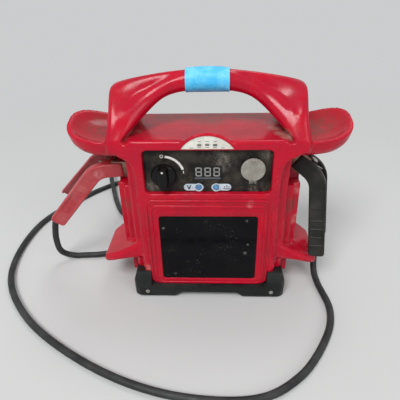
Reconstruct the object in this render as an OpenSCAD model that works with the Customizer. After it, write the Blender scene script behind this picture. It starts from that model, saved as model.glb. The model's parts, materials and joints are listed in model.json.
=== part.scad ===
/* [Case] */
// Width of the front face of the case
case_w = 208; // [196:2:216]
// Depth of the case from front face to rear face
case_d = 122; // [116:2:130]
// Height of the deck under the handle
deck_z = 267; // [264:1:274]
// Thickness of the moulded walls
wall = 3; // [2.5:0.5:4]
// How far the front face widens under the shoulders
shoulder_flare = 6; // [3:1:8]
// How far the side columns stand out from the centre
column_reach = 139; // [137:1:142]

/* [Handle] */
// Height of the top of the handle
handle_top_z = 348; // [344:1:356]
// Thickness of the round grip
grip_d = 29; // [27:1:32]
// Width of the hand opening at the deck
hand_hole_w = 226; // [216:2:228]
// Width of the band of tape round the grip
tape_w = 60; // [50:2:70]

/* [Horns] */
// Width across the tips of the upper horns
reach_w = 412; // [400:2:424]
// Height of the flat underside of the upper horns
horn_under_z = 237; // [235:1:240]
// Depth of the dish in the top of an upper horn
dish_depth = 12; // [8:1:14]
// Width across the tips of the lower horns
foot_horn_w = 340; // [330:2:352]

/* [Base] */
// Width of the black boot
base_w = 240; // [236:2:248]
// Depth of the black boot
base_d = 144; // [140:2:150]
// Height of the rim of the boot
base_h = 46; // [42:1:48]
// Height of the arch between the feet
arch_h = 11; // [8:1:13]
// Width of the arch at its flat top
arch_w = 88; // [76:2:96]

/* [Panel] */
// Width of the control panel
panel_w = 178; // [172:1:182]
// Height of the control panel
panel_h = 66; // [62:1:68]
// Height of the middle of the control panel above the floor
panel_z = 220; // [218:1:221]
// How far the panel sits behind the front face
panel_recess = 8; // [6:0.5:10]
// Diameter of the skirt of the power knob
knob_d = 36; // [30:1:38]
// Diameter of the small push buttons
button_d = 8; // [6:0.5:9]
// How far a push button travels
button_travel = 1.2; // [0.8:0.1:1.6]
// Bore of the 12 V outlet
outlet_bore = 21; // [20.8:0.1:21.4]
// Depth of the bore of the 12 V outlet
outlet_depth = 38; // [34:1:44]
// Diameter of the cap over the outlet
cap_d = 34; // [32:1:36]

/* [Label] */
// Width of the label plate
label_w = 146; // [130:2:150]
// Height of the label plate
label_h = 117; // [100:1:120]

/* [Battery] */
// Length of the battery
battery_l = 181; // [170:1:184]
// Thickness of the battery
battery_t = 76; // [70:1:78]
// Height of the battery case
battery_h = 148; // [140:1:150]

/* [Clamps] */
// Width of a clamp
clamp_w = 25; // [23:1:27]
// Length of the straight grip of a clamp
clamp_grip_l = 112; // [95:1:118]
// Thickness of the lug that the clamps bite
lug_t = 8; // [6:0.5:9]
// Diameter of the pivot pin of a clamp
clamp_pin_d = 6; // [5:0.5:7]

/* [Leads] */
// Diameter of a lead
lead_d = 10.5; // [9:0.5:11]

/* [Hidden] */
$fn = 48;

case_red = "#c41a35";
boot_black = "#26292a";
panel_black = "#2b2a27";
clamp_red = "#b84a52";
clamp_black = "#3e3e3c";
lead_black = "#1c1d1d";
copper = "#b9aa8e";
steel = "#9a9c9c";

// Faces round a full circle in the two meshed shells
shell_fn = 20;
// Clearance between pieces that lie side by side
gap = 0.3;
// Radial clearance of a running fit
running = 0.08;

// ---- Forms ----

function signed_power(v, e) = sign(v) * pow(abs(v), e);

// Point on the ellipse-like curve of exponent n, from a round 2 towards a squarer 5
function squircle(a, b, n, angle) =
    [a * signed_power(cos(angle), 2 / n), b * signed_power(sin(angle), 2 / n)];

function bezier(p, t) =
    len(p) == 1
        ? p[0]
        : bezier([for (i = [0:len(p) - 2]) p[i] * (1 - t) + p[i + 1] * t], t);

function centre_of(ring) = [for (k = [0:2]) [for (p = ring) p[k]] * [for (p = ring) 1] / len(ring)];

function unit(v) = v / norm(v);

// Closed solid through rings of equal count, wound anticlockwise seen from the last ring
module loft(rings) {
    n = len(rings[0]);
    m = len(rings);
    points = [for (ring = rings) each ring, centre_of(rings[0]), centre_of(rings[m - 1])];
    sides = [
        for (i = [0:m - 2], j = [0:n - 1])
            let (k = (j + 1) % n)
            each [[i * n + j, (i + 1) * n + j, (i + 1) * n + k], [i * n + j, (i + 1) * n + k, i * n + k]]
    ];
    start_cap = [for (j = [0:n - 1]) [m * n, j, (j + 1) % n]];
    end_cap = [for (j = [0:n - 1]) [m * n + 1, (m - 1) * n + (j + 1) % n, (m - 1) * n + j]];
    polyhedron(points, concat(sides, start_cap, end_cap), convexity = 6);
}

module both_sides() {
    children();
    mirror([1, 0, 0]) children();
}

// Rounded rectangle in the X-Z plane, swept from y0 to y1
module upright_plate(w, h, r, y0, y1) {
    translate([0, y1, 0])
        rotate([90, 0, 0])
            linear_extrude(y1 - y0)
                rounded_rectangle(w, h, r);
}

module rounded_rectangle(w, h, r) {
    square([w - 2 * r, h], center = true);
    square([w, h - 2 * r], center = true);
    for (x = [-1, 1], y = [-1, 1])
        translate([x * (w / 2 - r), y * (h / 2 - r)]) circle(r);
}

// Cylinder along Y from y0 to y1
module bar_y(d, y0, y1) {
    translate([0, y1, 0]) rotate([90, 0, 0]) cylinder(d = d, h = y1 - y0);
}

// ---- Derived places ----

front_y = -case_d / 2;
rear_y = case_d / 2;
panel_t = 3;
panel_front_y = front_y + panel_recess;
panel_back_y = panel_front_y + panel_t;
case_bottom_z = 24;
flute_step = [12, 20];
flute_depth = [13, 18];
side_x = case_w / 2 + flute_step[0] + 12;
column_half = 20;
column_top_z = 184;
relief_x = 116;
relief_half = 31;
floor_t = 6;
foot_t = 4;

// Quarter of the plan of the case, from the front corner out to the side, drawn in by inset
function case_quarter(flare, inset) =
    let (
        x1 = case_w / 2 + flare - inset,
        x2 = case_w / 2 + flute_step[0] + flare * 0.6 - inset,
        x3 = side_x - inset,
        y1 = front_y + inset,
        y2 = front_y + flute_depth[0] + inset,
        y3 = front_y + flute_depth[0] + flute_depth[1] + inset
    )
    [
        [x1 - 6, y1], [x1 - 1.8, y1 + 1.8], [x1, y1 + 6], [x1, y2],
        [x2 - 3, y2], [x2, y2 + 3], [x2, y3], [x3, y3]
    ];

function case_plan(flare, inset) =
    let (q = case_quarter(flare, inset), n = len(q) - 1)
    concat(
        q,
        [for (i = [n:-1:0]) [q[i][0], -q[i][1]]],
        [for (p = q) [-p[0], -p[1]]],
        [for (i = [n:-1:0]) [-q[i][0], q[i][1]]]
    );

function case_ring(z, flare, inset) = [for (p = case_plan(flare, inset)) [p[0], p[1], z]];

module case_body() {
    loft([
        case_ring(case_bottom_z, 0, 0),
        case_ring(200, 0, 0),
        case_ring(deck_z - 24, shoulder_flare * 0.6, 0),
        case_ring(deck_z - 12, shoulder_flare, 0),
        case_ring(deck_z - 3, shoulder_flare, 0),
        case_ring(deck_z, shoulder_flare, 3)
    ]);
}

module case_hollow() {
    loft([
        case_ring(case_bottom_z - 1, 0, wall),
        case_ring(200, 0, wall),
        case_ring(deck_z - 24, shoulder_flare * 0.6, wall),
        case_ring(deck_z - wall, shoulder_flare * 0.6, wall)
    ]);
}

// ---- Handle ----

grip_r = grip_d / 2;
leg_out = 141;
leg_depth = 57;
grip_under_z = handle_top_z - grip_d;
handle_inner = [[hand_hole_w / 2, deck_z], [62, grip_under_z - 10], [67, grip_under_z], [0, grip_under_z]];
handle_outer = [
    [leg_out, deck_z - 4],
    [leg_out - 19, handle_top_z + 5],
    [leg_out + 27, handle_top_z - 36],
    [97, handle_top_z],
    [0, handle_top_z]
];
handle_points = 20;
handle_steps = 9;

// Ring of the handle at t, from 0 at the deck to 1 at the middle of the grip, swollen by grow
function handle_ring(t, drop, grow) =
    let (
        a = bezier(handle_inner, t) - [0, drop],
        b = bezier(handle_outer, t) - [0, drop],
        mid = (a + b) / 2,
        half = norm(b - a) / 2 + grow,
        dir = unit(b - a),
        depth = grip_r + (leg_depth - grip_r) * pow(1 - t, 2.7) + grow,
        n = 2 + 3.5 * pow(1 - t, 2)
    )
    [
        for (i = [0:handle_points - 1])
            let (q = squircle(half, depth, n, 360 * i / handle_points))
            [mid[0] + dir[0] * q[0], q[1], mid[1] + dir[1] * q[0]]
    ];

function mirrored_ring(ring) =
    let (n = len(ring)) [for (i = [0:n - 1]) [-ring[i][0], ring[i][1], ring[i][2]]];

module handle_solid(grow) {
    right = [for (i = [0:handle_steps]) handle_ring(i / handle_steps, 0, grow)];
    loft(concat(
        [handle_ring(0, 16, grow)],
        right,
        [for (i = [handle_steps - 1:-1:0]) mirrored_ring(right[i])],
        [mirrored_ring(handle_ring(0, 16, grow))]
    ));
}

// ---- Upper horns ----

horn_root_x = 122;
horn_front_y = -50;
horn_rear_y = 58;
horn_mid_y = (horn_front_y + horn_rear_y) / 2;
horn_half = (horn_rear_y - horn_front_y) / 2;
horn_len = reach_w / 2 - horn_root_x;
horn_arc = 12;

// Height of the rim of an upper horn, low in front and rising to the rear of its tip
function horn_rim_z(x, y) =
    let (
        u = max(0, min(1, (x - horn_root_x) / horn_len)),
        r = max(0, min(1, (y - horn_front_y) / (2 * horn_half)))
    )
    horn_under_z + 23 + 4 * r + 3 * pow(u, 2) + 24 * r * pow(u, 1.6);

// Plan of a horn: a D shape whose straight side is buried in the case
function horn_plan(length, half) =
    concat(
        [[horn_root_x - 8, horn_mid_y - half]],
        [
            for (i = [0:horn_arc])
                let (q = squircle(length, half, 2.6, -90 + 180 * i / horn_arc))
                [horn_root_x + q[0], horn_mid_y + q[1]]
        ],
        [[horn_root_x - 8, horn_mid_y + half]]
    );

// Ring of a horn; rise is 0 at the underside and 1 at the rim, sink is how far it lies below the rim
function horn_ring(length, half, rise, sink) =
    [
        for (p = horn_plan(length, half))
            [p[0], p[1], horn_under_z + (horn_rim_z(p[0], p[1]) - horn_under_z) * rise - sink]
    ];

module upper_horn() {
    loft([
        horn_ring(horn_len - 26, horn_half - 13, 0, 0),
        horn_ring(horn_len - 16, horn_half - 8, 0.06, 0),
        horn_ring(horn_len - 5, horn_half - 3, 0.42, 0),
        horn_ring(horn_len - 1, horn_half - 1, 0.8, 0),
        horn_ring(horn_len, horn_half, 0.97, 0),
        horn_ring(horn_len - 2, horn_half - 2, 1, 0),
        horn_ring(horn_len - 8, horn_half - 6, 1, 1),
        horn_ring(horn_len - 16, horn_half - 13, 1, dish_depth * 0.55),
        horn_ring(horn_len - 32, horn_half - 26, 1, dish_depth * 0.92),
        horn_ring(horn_len - 54, horn_half - 42, 1, dish_depth)
    ]);
}

// ---- Lower horns ----

foot_root_x = 100;
foot_front_y = -52;
foot_rear_y = 58;
foot_tip_x = foot_horn_w / 2;
foot_steps = 6;

// Section of a lower horn across its depth at u, from 0 at the case to 1 at the drooping tip
function foot_horn_ring(u) =
    let (
        x = foot_root_x + (foot_tip_x - foot_root_x) * u,
        under = 63 - 20 * pow(u, 2.2),
        over = under + 15 + 27 * pow(1 - u, 3),
        pull = 14 * pow(u, 4),
        y0 = foot_front_y + pull,
        y1 = foot_rear_y - pull,
        r = 4
    )
    [
        [x, y0 + r, under], [x, y1 - r, under], [x, y1, under + r], [x, y1, over - r],
        [x, y1 - r, over], [x, y0 + r, over], [x, y0, over - r], [x, y0, under + r]
    ];

// Rounded nose that ends a lower horn
function foot_horn_nose() =
    let (last = foot_horn_ring(1), c = centre_of(last))
    [for (p = last) [p[0] + 3, c[1] + (p[1] - c[1]) * 0.93, c[2] + (p[2] - c[2]) * 0.5]];

module lower_horn() {
    loft(concat([for (i = [0:foot_steps]) foot_horn_ring(i / foot_steps)], [foot_horn_nose()]));
}

// ---- Case outside ----

hood_chord = 72;
hood_rise = 19;
hood_r = (pow(hood_chord / 2, 2) + pow(hood_rise, 2)) / (2 * hood_rise);
hood_flat_z = deck_z - 11;
hood_rim = 4;
pad_outer = [184, 156];
pad_inner = [172, 148];
pad_bottom_z = 22;
label_mid_z = 92;
label_front_y = front_y - 1.6;

// Segment of a circle that stands on a chord at the height of the status window
module half_moon(grow) {
    intersection() {
        translate([0, hood_flat_z + hood_rise - hood_r]) circle(hood_r + grow, $fn = 72);
        translate([-hood_r, hood_flat_z - grow * 0.4]) square([2 * hood_r, hood_rise + 2 * grow + 1]);
    }
}

module half_moon_plate(grow, y0, y1) {
    translate([0, y1, 0]) rotate([90, 0, 0]) linear_extrude(y1 - y0) half_moon(grow);
}

// Ridge that arches over the status window and runs back into the deck
module hood() {
    hull() {
        half_moon_plate(hood_rim, front_y - 1.5, front_y + 5);
        translate([0, 0, -hood_rise]) half_moon_plate(hood_rim, front_y + 20, front_y + 34);
    }
}

// Two stepped rims round the label
module label_pad() {
    translate([0, 0, pad_bottom_z + pad_outer[1] / 2])
        upright_plate(pad_outer[0], pad_outer[1], 12, front_y - 1.5, front_y + 2);
    translate([0, 0, pad_bottom_z + pad_inner[1] / 2])
        upright_plate(pad_inner[0], pad_inner[1], 10, front_y - 3.2, front_y + 2);
}

// Rib up the side of the case, grooved between its two edges
module column() {
    difference() {
        hull() {
            translate([side_x - 8, -column_half, 70])
                cube([column_reach - side_x + 6, 2 * column_half, column_top_z - 70]);
            translate([side_x - 8, -column_half + 2, 70])
                cube([column_reach - side_x + 8, 2 * column_half - 4, column_top_z - 72]);
        }
        for (y = [-1, 1])
            translate([column_reach, y * 7, 128]) cylinder(r = 2.6, h = 130, center = true, $fn = 16);
    }
}

// Plate above a column that the clamps bite
module lug() {
    for (inset = [[0, 0], [1.5, 2]])
        translate([relief_x - 2, inset[0] - lug_t / 2, column_top_z - 1])
            cube([
                column_reach - relief_x + inset[1] - 2, lug_t - 2 * inset[0], horn_under_z - column_top_z + 3
            ]);
}

// Hollow behind the lug, which leaves it standing free of the case for the jaws
module lug_relief() {
    difference() {
        translate([relief_x, -relief_half, column_top_z])
            cube([40, 2 * relief_half, horn_under_z - column_top_z]);
        lug();
    }
}

// Wall that closes the hollow behind the lug towards the inside of the case
module relief_wall() {
    translate([relief_x - wall, -relief_half - wall, column_top_z - wall])
        cube([40, 2 * (relief_half + wall), horn_under_z - column_top_z + 2 * wall]);
}

module case_outside() {
    difference() {
        union() {
            case_body();
            handle_solid(0);
            both_sides() {
                upper_horn();
                lower_horn();
                column();
                lug();
            }
            hood();
            label_pad();
        }
        both_sides() lug_relief();
    }
}

// ---- Case inside ----

boss_x = case_w / 2 - wall - 3.5;
boss_places = [for (s = [1, -1]) each [[s * boss_x, 56], [s * boss_x, 176], [s * 52, 256]]];
boss_d = 12;
screw_d = 4;
screw_head_d = 8;

// Screw post that joins a shell to the other at the parting plane
module boss(y0, y1) {
    hull() {
        bar_y(boss_d, y0, y1);
        translate([0, 0, -4]) bar_y(boss_d - 3, y0, y1);
    }
}

module bosses(y0, y1) {
    for (p = boss_places)
        translate([p[0], 0, p[1]]) boss(y0, y1);
}

panel_opening = [panel_w - 12, panel_h - 3];

// Moulded tray that carries the control panel behind the front face
module panel_tray() {
    translate([0, 0, panel_z])
        upright_plate(panel_w + 2 * wall, panel_h + 2 * wall, 9, front_y + 1, panel_back_y + wall);
}

module panel_recess_cut() {
    translate([0, 0, panel_z]) {
        upright_plate(panel_w + 2 * gap, panel_h + 2 * gap, 7, front_y - 5, panel_back_y);
        upright_plate(panel_opening[0], panel_opening[1], 6, front_y - 5, panel_back_y + 2 * wall);
        hull() {
            upright_plate(panel_w + 5, panel_h + 5, 9, front_y - 1, front_y + 0.1);
            upright_plate(panel_w, panel_h, 7, front_y + 2.4, front_y + 2.5);
        }
    }
}

module walls() {
    difference() {
        case_outside();
        difference() {
            case_hollow();
            both_sides() relief_wall();
        }
    }
}

module half_space(front) {
    mirror([0, front ? 1 : 0, 0]) translate([-300, 0, -10]) cube([600, 200, 500]);
}

module front_shell() {
    $fn = shell_fn;
    color(case_red)
        difference() {
            intersection() {
                union() {
                    walls();
                    intersection() {
                        panel_tray();
                        case_body();
                    }
                    bosses(front_y + 1, 0);
                }
                half_space(true);
            }
            panel_recess_cut();
            translate([0, 0, label_mid_z])
                upright_plate(label_w + 2 * gap, label_h + 2 * gap, 5, front_y - 8, label_front_y);
            half_moon_plate(gap, front_y - 8, front_y + 1.4);
            half_moon_plate(-3, front_y - 8, front_y + 14);
        }
}

inlet_x = 62;
inlet_z = 96;
inlet_d = 40;
red_gland_x = -52;
black_gland_x = -84;
gland_z = 62;
gland_d = 18;

module rear_shell() {
    $fn = shell_fn;
    color(case_red)
        difference() {
            intersection() {
                union() {
                    walls();
                    bosses(0, rear_y - 1);
                }
                half_space(false);
            }
            translate([inlet_x, 0, inlet_z]) bar_y(inlet_d + 2 * gap, rear_y - 12, rear_y + 5);
            for (x = [red_gland_x, black_gland_x])
                translate([x, 0, gland_z]) bar_y(gland_d - 4, rear_y - 12, rear_y + 5);
            for (p = boss_places)
                translate([p[0], 0, p[1]]) {
                    bar_y(screw_head_d + 1, rear_y - 6, rear_y + 5);
                    bar_y(screw_d, rear_y - 14, rear_y - 5);
                }
        }
}

// ---- Base ----

base_corner = 14;
screw_x = 100;
screw_z = 10;

module base_outline() {
    polygon([
        [-base_w / 2, foot_t - 1], [-arch_w / 2 - arch_h, foot_t - 1], [-arch_w / 2, arch_h],
        [arch_w / 2, arch_h], [arch_w / 2 + arch_h, foot_t - 1], [base_w / 2, foot_t - 1],
        [base_w / 2 + 2, 26], [base_w / 2 - 4, base_h], [-base_w / 2 + 4, base_h], [-base_w / 2 - 2, 26]
    ]);
}

module base_side_outline() {
    polygon([
        [-base_d / 2, foot_t - 1], [base_d / 2, foot_t - 1], [base_d / 2, 26],
        [rear_y + 3, base_h], [front_y - 3, base_h], [-base_d / 2, 26]
    ]);
}

module base_plan() {
    hull()
        for (x = [-1, 1], y = [-1, 1])
            translate([x * (base_w / 2 + 2 - base_corner), y * (base_d / 2 - base_corner)])
                circle(base_corner);
}

module base_block() {
    intersection() {
        translate([0, base_d / 2 + 1, 0]) rotate([90, 0, 0]) linear_extrude(base_d + 2) base_outline();
        translate([-base_w / 2 - 3, 0, 0])
            rotate([90, 0, 90]) linear_extrude(base_w + 6) base_side_outline();
        linear_extrude(base_h + 1) base_plan();
    }
}

module base() {
    color(boot_black)
        difference() {
            base_block();
            translate([0, 0, case_bottom_z - gap])
                linear_extrude(base_h) polygon(case_plan(gap, -gap));
            translate([-pad_outer[0] / 2 - gap, front_y - 20, pad_bottom_z - gap])
                cube([pad_outer[0] + 2 * gap, 25, base_h]);
            translate([-battery_l / 2 - 1, -battery_t / 2 - 1, floor_t + arch_h - 2])
                cube([battery_l + 2, battery_t + 2, base_h]);
            for (x = [-1, 1], y = [-1, 1]) {
                translate([x * screw_x, y * (base_d / 2 - 1.5), screw_z])
                    rotate([90, 0, 0]) cylinder(d = screw_head_d + 2, h = 5, center = true);
                translate([x * screw_x, y * (base_d / 2 - 6), screw_z])
                    rotate([90, 0, 0]) cylinder(d = screw_d, h = 9, center = true);
                translate([x * (base_w / 2 - 24), y * (base_d / 2 - 22), foot_t - 2])
                    cylinder(d = 18 + 2 * gap, h = 3);
            }
        }
}

module rubber_feet() {
    color("#1a1a1a")
        for (x = [-1, 1], y = [-1, 1])
            translate([x * (base_w / 2 - 24), y * (base_d / 2 - 22), 0])
                cylinder(d = 18, h = foot_t + 1 - gap);
}

module base_screws() {
    color(steel)
        for (x = [-1, 1], y = [-1, 1])
            translate([x * screw_x, y * (base_d / 2 - 4 + 0.01), screw_z])
                rotate([-90 * y, 0, 0]) pan_head(screw_head_d + 1, 2.6, 5);
}

// Pan-head screw seen from its head, its seat at z = 0
module pan_head(d, h, shank) {
    difference() {
        union() {
            cylinder(d1 = d, d2 = d - 2, h = h);
            translate([0, 0, -shank]) cylinder(d = screw_d - 1, h = shank + 0.1);
        }
        for (a = [0, 90])
            rotate(a) translate([-2.2, -0.5, h - 1]) cube([4.4, 1, 2]);
    }
}

module shell_screws() {
    color(steel)
        for (p = boss_places)
            translate([p[0], rear_y - 6, p[1]]) rotate([-90, 0, 0]) pan_head(screw_head_d, 3, 6);
}

// ---- Control panel ----

knob_x = -62;
knob_z = panel_z - 7;
knob_skirt_t = 5;
knob_h = 17;
display_w = 40;
display_h = 21;
display_z = panel_z - 3;
button_x = [-13, 12];
button_z = panel_z - 26;
ring_d = 12.6;
outlet_x = 63;
outlet_z = panel_z + 3;
barrel_d = 28;
cap_t = 4;
cap_hinge_z = outlet_z - cap_d / 2 - 3;
shaft_d = 8;

module control_panel() {
    color(panel_black)
        difference() {
            translate([0, 0, panel_z])
                upright_plate(panel_w, panel_h, 6.5, panel_front_y, panel_back_y);
            translate([knob_x, 0, knob_z]) bar_y(shaft_d + 2, front_y, 0);
            translate([0, 0, display_z])
                upright_plate(display_w + 2 * gap, display_h + 2 * gap, 2, front_y, 0);
            for (x = button_x)
                translate([x, 0, button_z]) bar_y(ring_d - 2, front_y, 0);
            translate([outlet_x, 0, outlet_z]) bar_y(barrel_d + 2 * gap, front_y, 0);
        }
}

// Turned skirt with a raised bar across it to grip
module power_knob() {
    color("#232426")
        translate([knob_x, panel_front_y - 0.4, knob_z])
            rotate([90, 0, 0])
                difference() {
                    union() {
                        rotate_extrude()
                            polygon([
                                [shaft_d / 2 + running, 0], [knob_d / 2, 0], [knob_d / 2, 2.5],
                                [knob_d / 2 - 2, knob_skirt_t], [shaft_d / 2 + running, knob_skirt_t + 1]
                            ]);
                        intersection() {
                            translate([0, 0, knob_skirt_t - 0.5]) grip_bar();
                            cylinder(d = knob_d - 3, h = knob_h);
                        }
                    }
                    translate([0, 0, -1]) cylinder(d = shaft_d + 2 * running, h = 11);
                    translate([0, knob_d / 2 - 6, knob_h - 0.8]) cylinder(d = 3.2, h = 2);
                }
}

// Bar of the knob: rounded in plan, thinner towards its top
module grip_bar() {
    rotate([90, 0, 0])
        translate([0, 0, -knob_d / 2])
            linear_extrude(knob_d)
                polygon([
                    [-8, 0], [8, 0], [6.4, knob_h - knob_skirt_t - 1.4], [5, knob_h - knob_skirt_t + 0.5],
                    [-5, knob_h - knob_skirt_t + 0.5], [-6.4, knob_h - knob_skirt_t - 1.4]
                ]);
}

// Rotary battery switch behind the panel, its shaft reaching into the knob
module power_switch() {
    color("#8d8f8c")
        translate([knob_x, 0, knob_z]) {
            bar_y(shaft_d, panel_front_y - 9, panel_back_y + 1);
            bar_y(shaft_d + 8, panel_back_y + 0.01, panel_back_y + 4);
            upright_plate(46, 46, 6, panel_back_y + 3.9, panel_back_y + 24);
            for (x = [-1, 1])
                translate([x * 14, 0, 0]) bar_y(8, panel_back_y + 23.9, panel_back_y + 36);
        }
}

module display_window() {
    color("#1b1c1e")
        translate([0, 0, display_z])
            upright_plate(display_w, display_h, 1.7, panel_front_y - 0.8, panel_front_y + 1.2);
}

// Three-digit display: a housing with the segments standing on its face
module display_module() {
    color("#5b5d5c")
        translate([0, 0, display_z]) {
            upright_plate(display_w, display_h, 1, panel_front_y + 1.2, panel_back_y + 8);
        }
}

module push_switch() {
    bar_y(ring_d - 2.4, panel_front_y - 0.2, panel_back_y + 12);
    difference() {
        bar_y(ring_d, panel_front_y - 1.6, panel_front_y);
        bar_y(ring_d - 2.4, panel_front_y - 3, panel_front_y + 1);
    }
}

module push_switch_bored() {
    difference() {
        push_switch();
        bar_y(button_d + 2 * gap, panel_front_y - 3, panel_front_y + 2 + button_travel);
    }
}

module push_button() {
    translate([0, panel_front_y - 2.6, 0])
        rotate([-90, 0, 0])
            rotate_extrude()
                polygon([
                    [0, 0], [button_d * 0.28, 0.15], [button_d * 0.42, 0.6], [button_d / 2, 1.4],
                    [button_d / 2, 4.5 - gap], [0, 4.5 - gap]
                ]);
}

module voltmeter_switch() {
    color("#6f7071") translate([button_x[0], 0, button_z]) push_switch_bored();
}

module outlet_switch() {
    color("#6f7071") translate([button_x[1], 0, button_z]) push_switch_bored();
}

module voltmeter_button() {
    color("#5d8fc4") translate([button_x[0], 0, button_z]) push_button();
}

module outlet_button() {
    color("#5d8fc4") translate([button_x[1], 0, button_z]) push_button();
}

// 12 V outlet: a flanged barrel with the standard bore
module outlet_socket() {
    color("#3a3a38")
        translate([outlet_x, 0, outlet_z])
            difference() {
                union() {
                    bar_y(cap_d - 2, panel_front_y - 1.5, panel_front_y - 0.01);
                    bar_y(barrel_d, panel_front_y - 1, panel_front_y - 1.5 + outlet_depth + 3);
                    bar_y(barrel_d + 6, panel_back_y + 0.01, panel_back_y + 4);
                }
                bar_y(outlet_bore, panel_front_y - 3, panel_front_y - 1.5 + outlet_depth);
            }
}

// Cap that closes the outlet and swings down on the pin below it
module outlet_cap() {
    color("#77756d")
        difference() {
            union() {
                translate([outlet_x, 0, outlet_z])
                    bar_y(cap_d, panel_front_y - 1.5 - cap_t, panel_front_y - 1.5 - gap);
                translate([outlet_x - 5, panel_front_y - 1.5 - cap_t, cap_hinge_z])
                    cube([10, cap_t - gap, 9]);
                translate([outlet_x - 5, panel_front_y - 3.6, cap_hinge_z])
                    rotate([0, 90, 0]) cylinder(d = 3.8, h = 10);
            }
            translate([outlet_x - 6, panel_front_y - 3.6, cap_hinge_z])
                rotate([0, 90, 0]) cylinder(d = 2 + 2 * running, h = 12);
        }
}

// Two ears on the panel with the pin that the cap turns on
module cap_hinge() {
    color("#4a4946") {
        translate([outlet_x - 9, panel_front_y - 3.6, cap_hinge_z])
            rotate([0, 90, 0]) cylinder(d = 2, h = 18);
        for (x = [outlet_x - 8.5, outlet_x + 5 + gap])
            translate([x, panel_front_y - 5.4, cap_hinge_z - 2]) cube([3.5 - gap, 5.4, 4]);
        translate([outlet_x - 8.5, panel_front_y - 1.2, cap_hinge_z - 6.5]) cube([17, 1.2, 4]);
    }
}

module status_window() {
    color("#e9e6de") half_moon_plate(0, front_y - 0.6, front_y + 1.4);
}

// Small board behind the status window with its row of lamps
module status_board() {
    color("#3f6b46") {
        translate([0, front_y + 9, hood_flat_z + 4]) cube([62, 1.6, 7], center = true);
        for (x = [-20, -10, 0, 10, 20])
            translate([x, 0, hood_flat_z + 4.5]) bar_y(3, front_y + 1.7, front_y + 8.3);
    }
}

module label_plate() {
    color("#151517")
        translate([0, 0, label_mid_z])
            upright_plate(label_w, label_h, 4.5, label_front_y - 0.7, label_front_y);
}

// ---- Inside ----

battery_z = floor_t + arch_h - 2 + 2;
terminal_h = 16;
terminal_x = battery_l / 2 - 22.5;
terminal_y = -battery_t / 2 + 24;
bolt_y = terminal_y - 7;
inner_lead_y = bolt_y + 13;

module battery() {
    color("#4d4f52")
        translate([-battery_l / 2, -battery_t / 2, battery_z]) {
            difference() {
                cube([battery_l, battery_t, battery_h]);
                for (x = [battery_l / 2 - terminal_x, battery_l / 2 + terminal_x])
                    translate([x - 12, 12, battery_h - 3]) cube([24, 23, 4]);
            }
            translate([3, 35, battery_h - 0.01]) cube([battery_l - 6, battery_t - 38, 3]);
        }
}

module battery_terminals() {
    color(steel)
        for (x = [-1, 1])
            translate([x * terminal_x, terminal_y, battery_z + battery_h - 3])
                difference() {
                    union() {
                        translate([-9, -7, 0]) cube([18, 14, 3]);
                        translate([-9, -7, 0]) cube([18, 3, terminal_h]);
                    }
                    translate([0, 5, 9]) rotate([90, 0, 0]) cylinder(d = 6.6, h = 20);
                }
}

module terminal_bolts() {
    color(steel)
        for (x = [-1, 1])
            translate([x * terminal_x, bolt_y, battery_z + battery_h + 6])
                rotate([90, 0, 0]) {
                    translate([0, 0, -9]) cylinder(d = 6.4, h = 13);
                    translate([0, 0, -13]) cylinder(d = 11, h = 4, $fn = 6);
                    translate([0, 0, 0.2]) cylinder(d = 11, h = 4, $fn = 6);
                }
}

module battery_pads() {
    color("#2e2e30") {
        translate([-battery_l / 2, -battery_t / 2, battery_z - 2]) cube([battery_l, battery_t, 2]);
        for (s = [-1, 1])
            translate([0, s * (battery_t / 4 + (rear_y - wall) / 2), 110])
                cube([70, rear_y - wall - battery_t / 2, 30], center = true);
    }
}

module circuit_board() {
    color("#2f6a45") {
        translate([-20, panel_back_y + 8.01, display_z - 14]) cube([44, 1.6, 32]);
        translate([-12, panel_back_y + 9.6, display_z - 11]) cube([18, 6, 14]);
        translate([10, panel_back_y + 9.6, display_z + 6]) cube([10, 9, 8]);
    }
}

module fuse_link() {
    color("#c9a43a")
        translate([18, -6, battery_z + battery_h + 3]) {
            cube([40, 12, 3]);
            translate([8, 0, 3]) cube([24, 12, 7]);
        }
}

// Route whose inner corners are rounded over a length r on each side, in n steps
function rounded_route(points, r, n) =
    concat(
        [points[0]],
        [
            for (i = [1:len(points) - 2], k = [0:n])
                let (
                    b = points[i],
                    a = b + unit(points[i - 1] - b) * r,
                    c = b + unit(points[i + 1] - b) * r,
                    f = k / n
                )
                (1 - f) * (1 - f) * a + 2 * f * (1 - f) * b + f * f * c
        ],
        [points[len(points) - 1]]
    );

inner_lead_z = battery_z + battery_h + 14;

module red_inner_lead() {
    route = [
        [terminal_x, inner_lead_y, inner_lead_z + 6], [terminal_x, 48, inner_lead_z + 6],
        [red_gland_x, 48, inner_lead_z + 6], [red_gland_x, 48, gland_z],
        [red_gland_x, rear_y - wall, gland_z]
    ];
    color("#a3242c") tube(rounded_route(route, 9, 3), 8, 10);
}

module black_inner_lead() {
    route = [
        [-terminal_x, inner_lead_y, inner_lead_z - 6], [-terminal_x, 48, inner_lead_z - 6],
        [black_gland_x, 48, inner_lead_z - 26], [black_gland_x, 48, gland_z],
        [black_gland_x, rear_y - wall, gland_z]
    ];
    color("#242424") tube(rounded_route(route, 9, 3), 8, 10);
}

module charge_inlet() {
    color("#2a2a2a")
        translate([inlet_x, 0, inlet_z])
            difference() {
                union() {
                    bar_y(inlet_d, rear_y - 22, rear_y + 0.1);
                    bar_y(inlet_d + 6, rear_y, rear_y + 1.5);
                }
                bar_y(inlet_d - 6, rear_y - 18, rear_y + 3);
            }
}

module inlet_pins() {
    color("#b89b55")
        translate([inlet_x, 0, inlet_z]) {
            for (x = [-1, 1])
                translate([x * 6.35 - 0.75, rear_y - 18, 0]) cube([1.5, 15, 6.3]);
            translate([0, 0, -10]) bar_y(4.8, rear_y - 18, rear_y - 2);
        }
}

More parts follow.
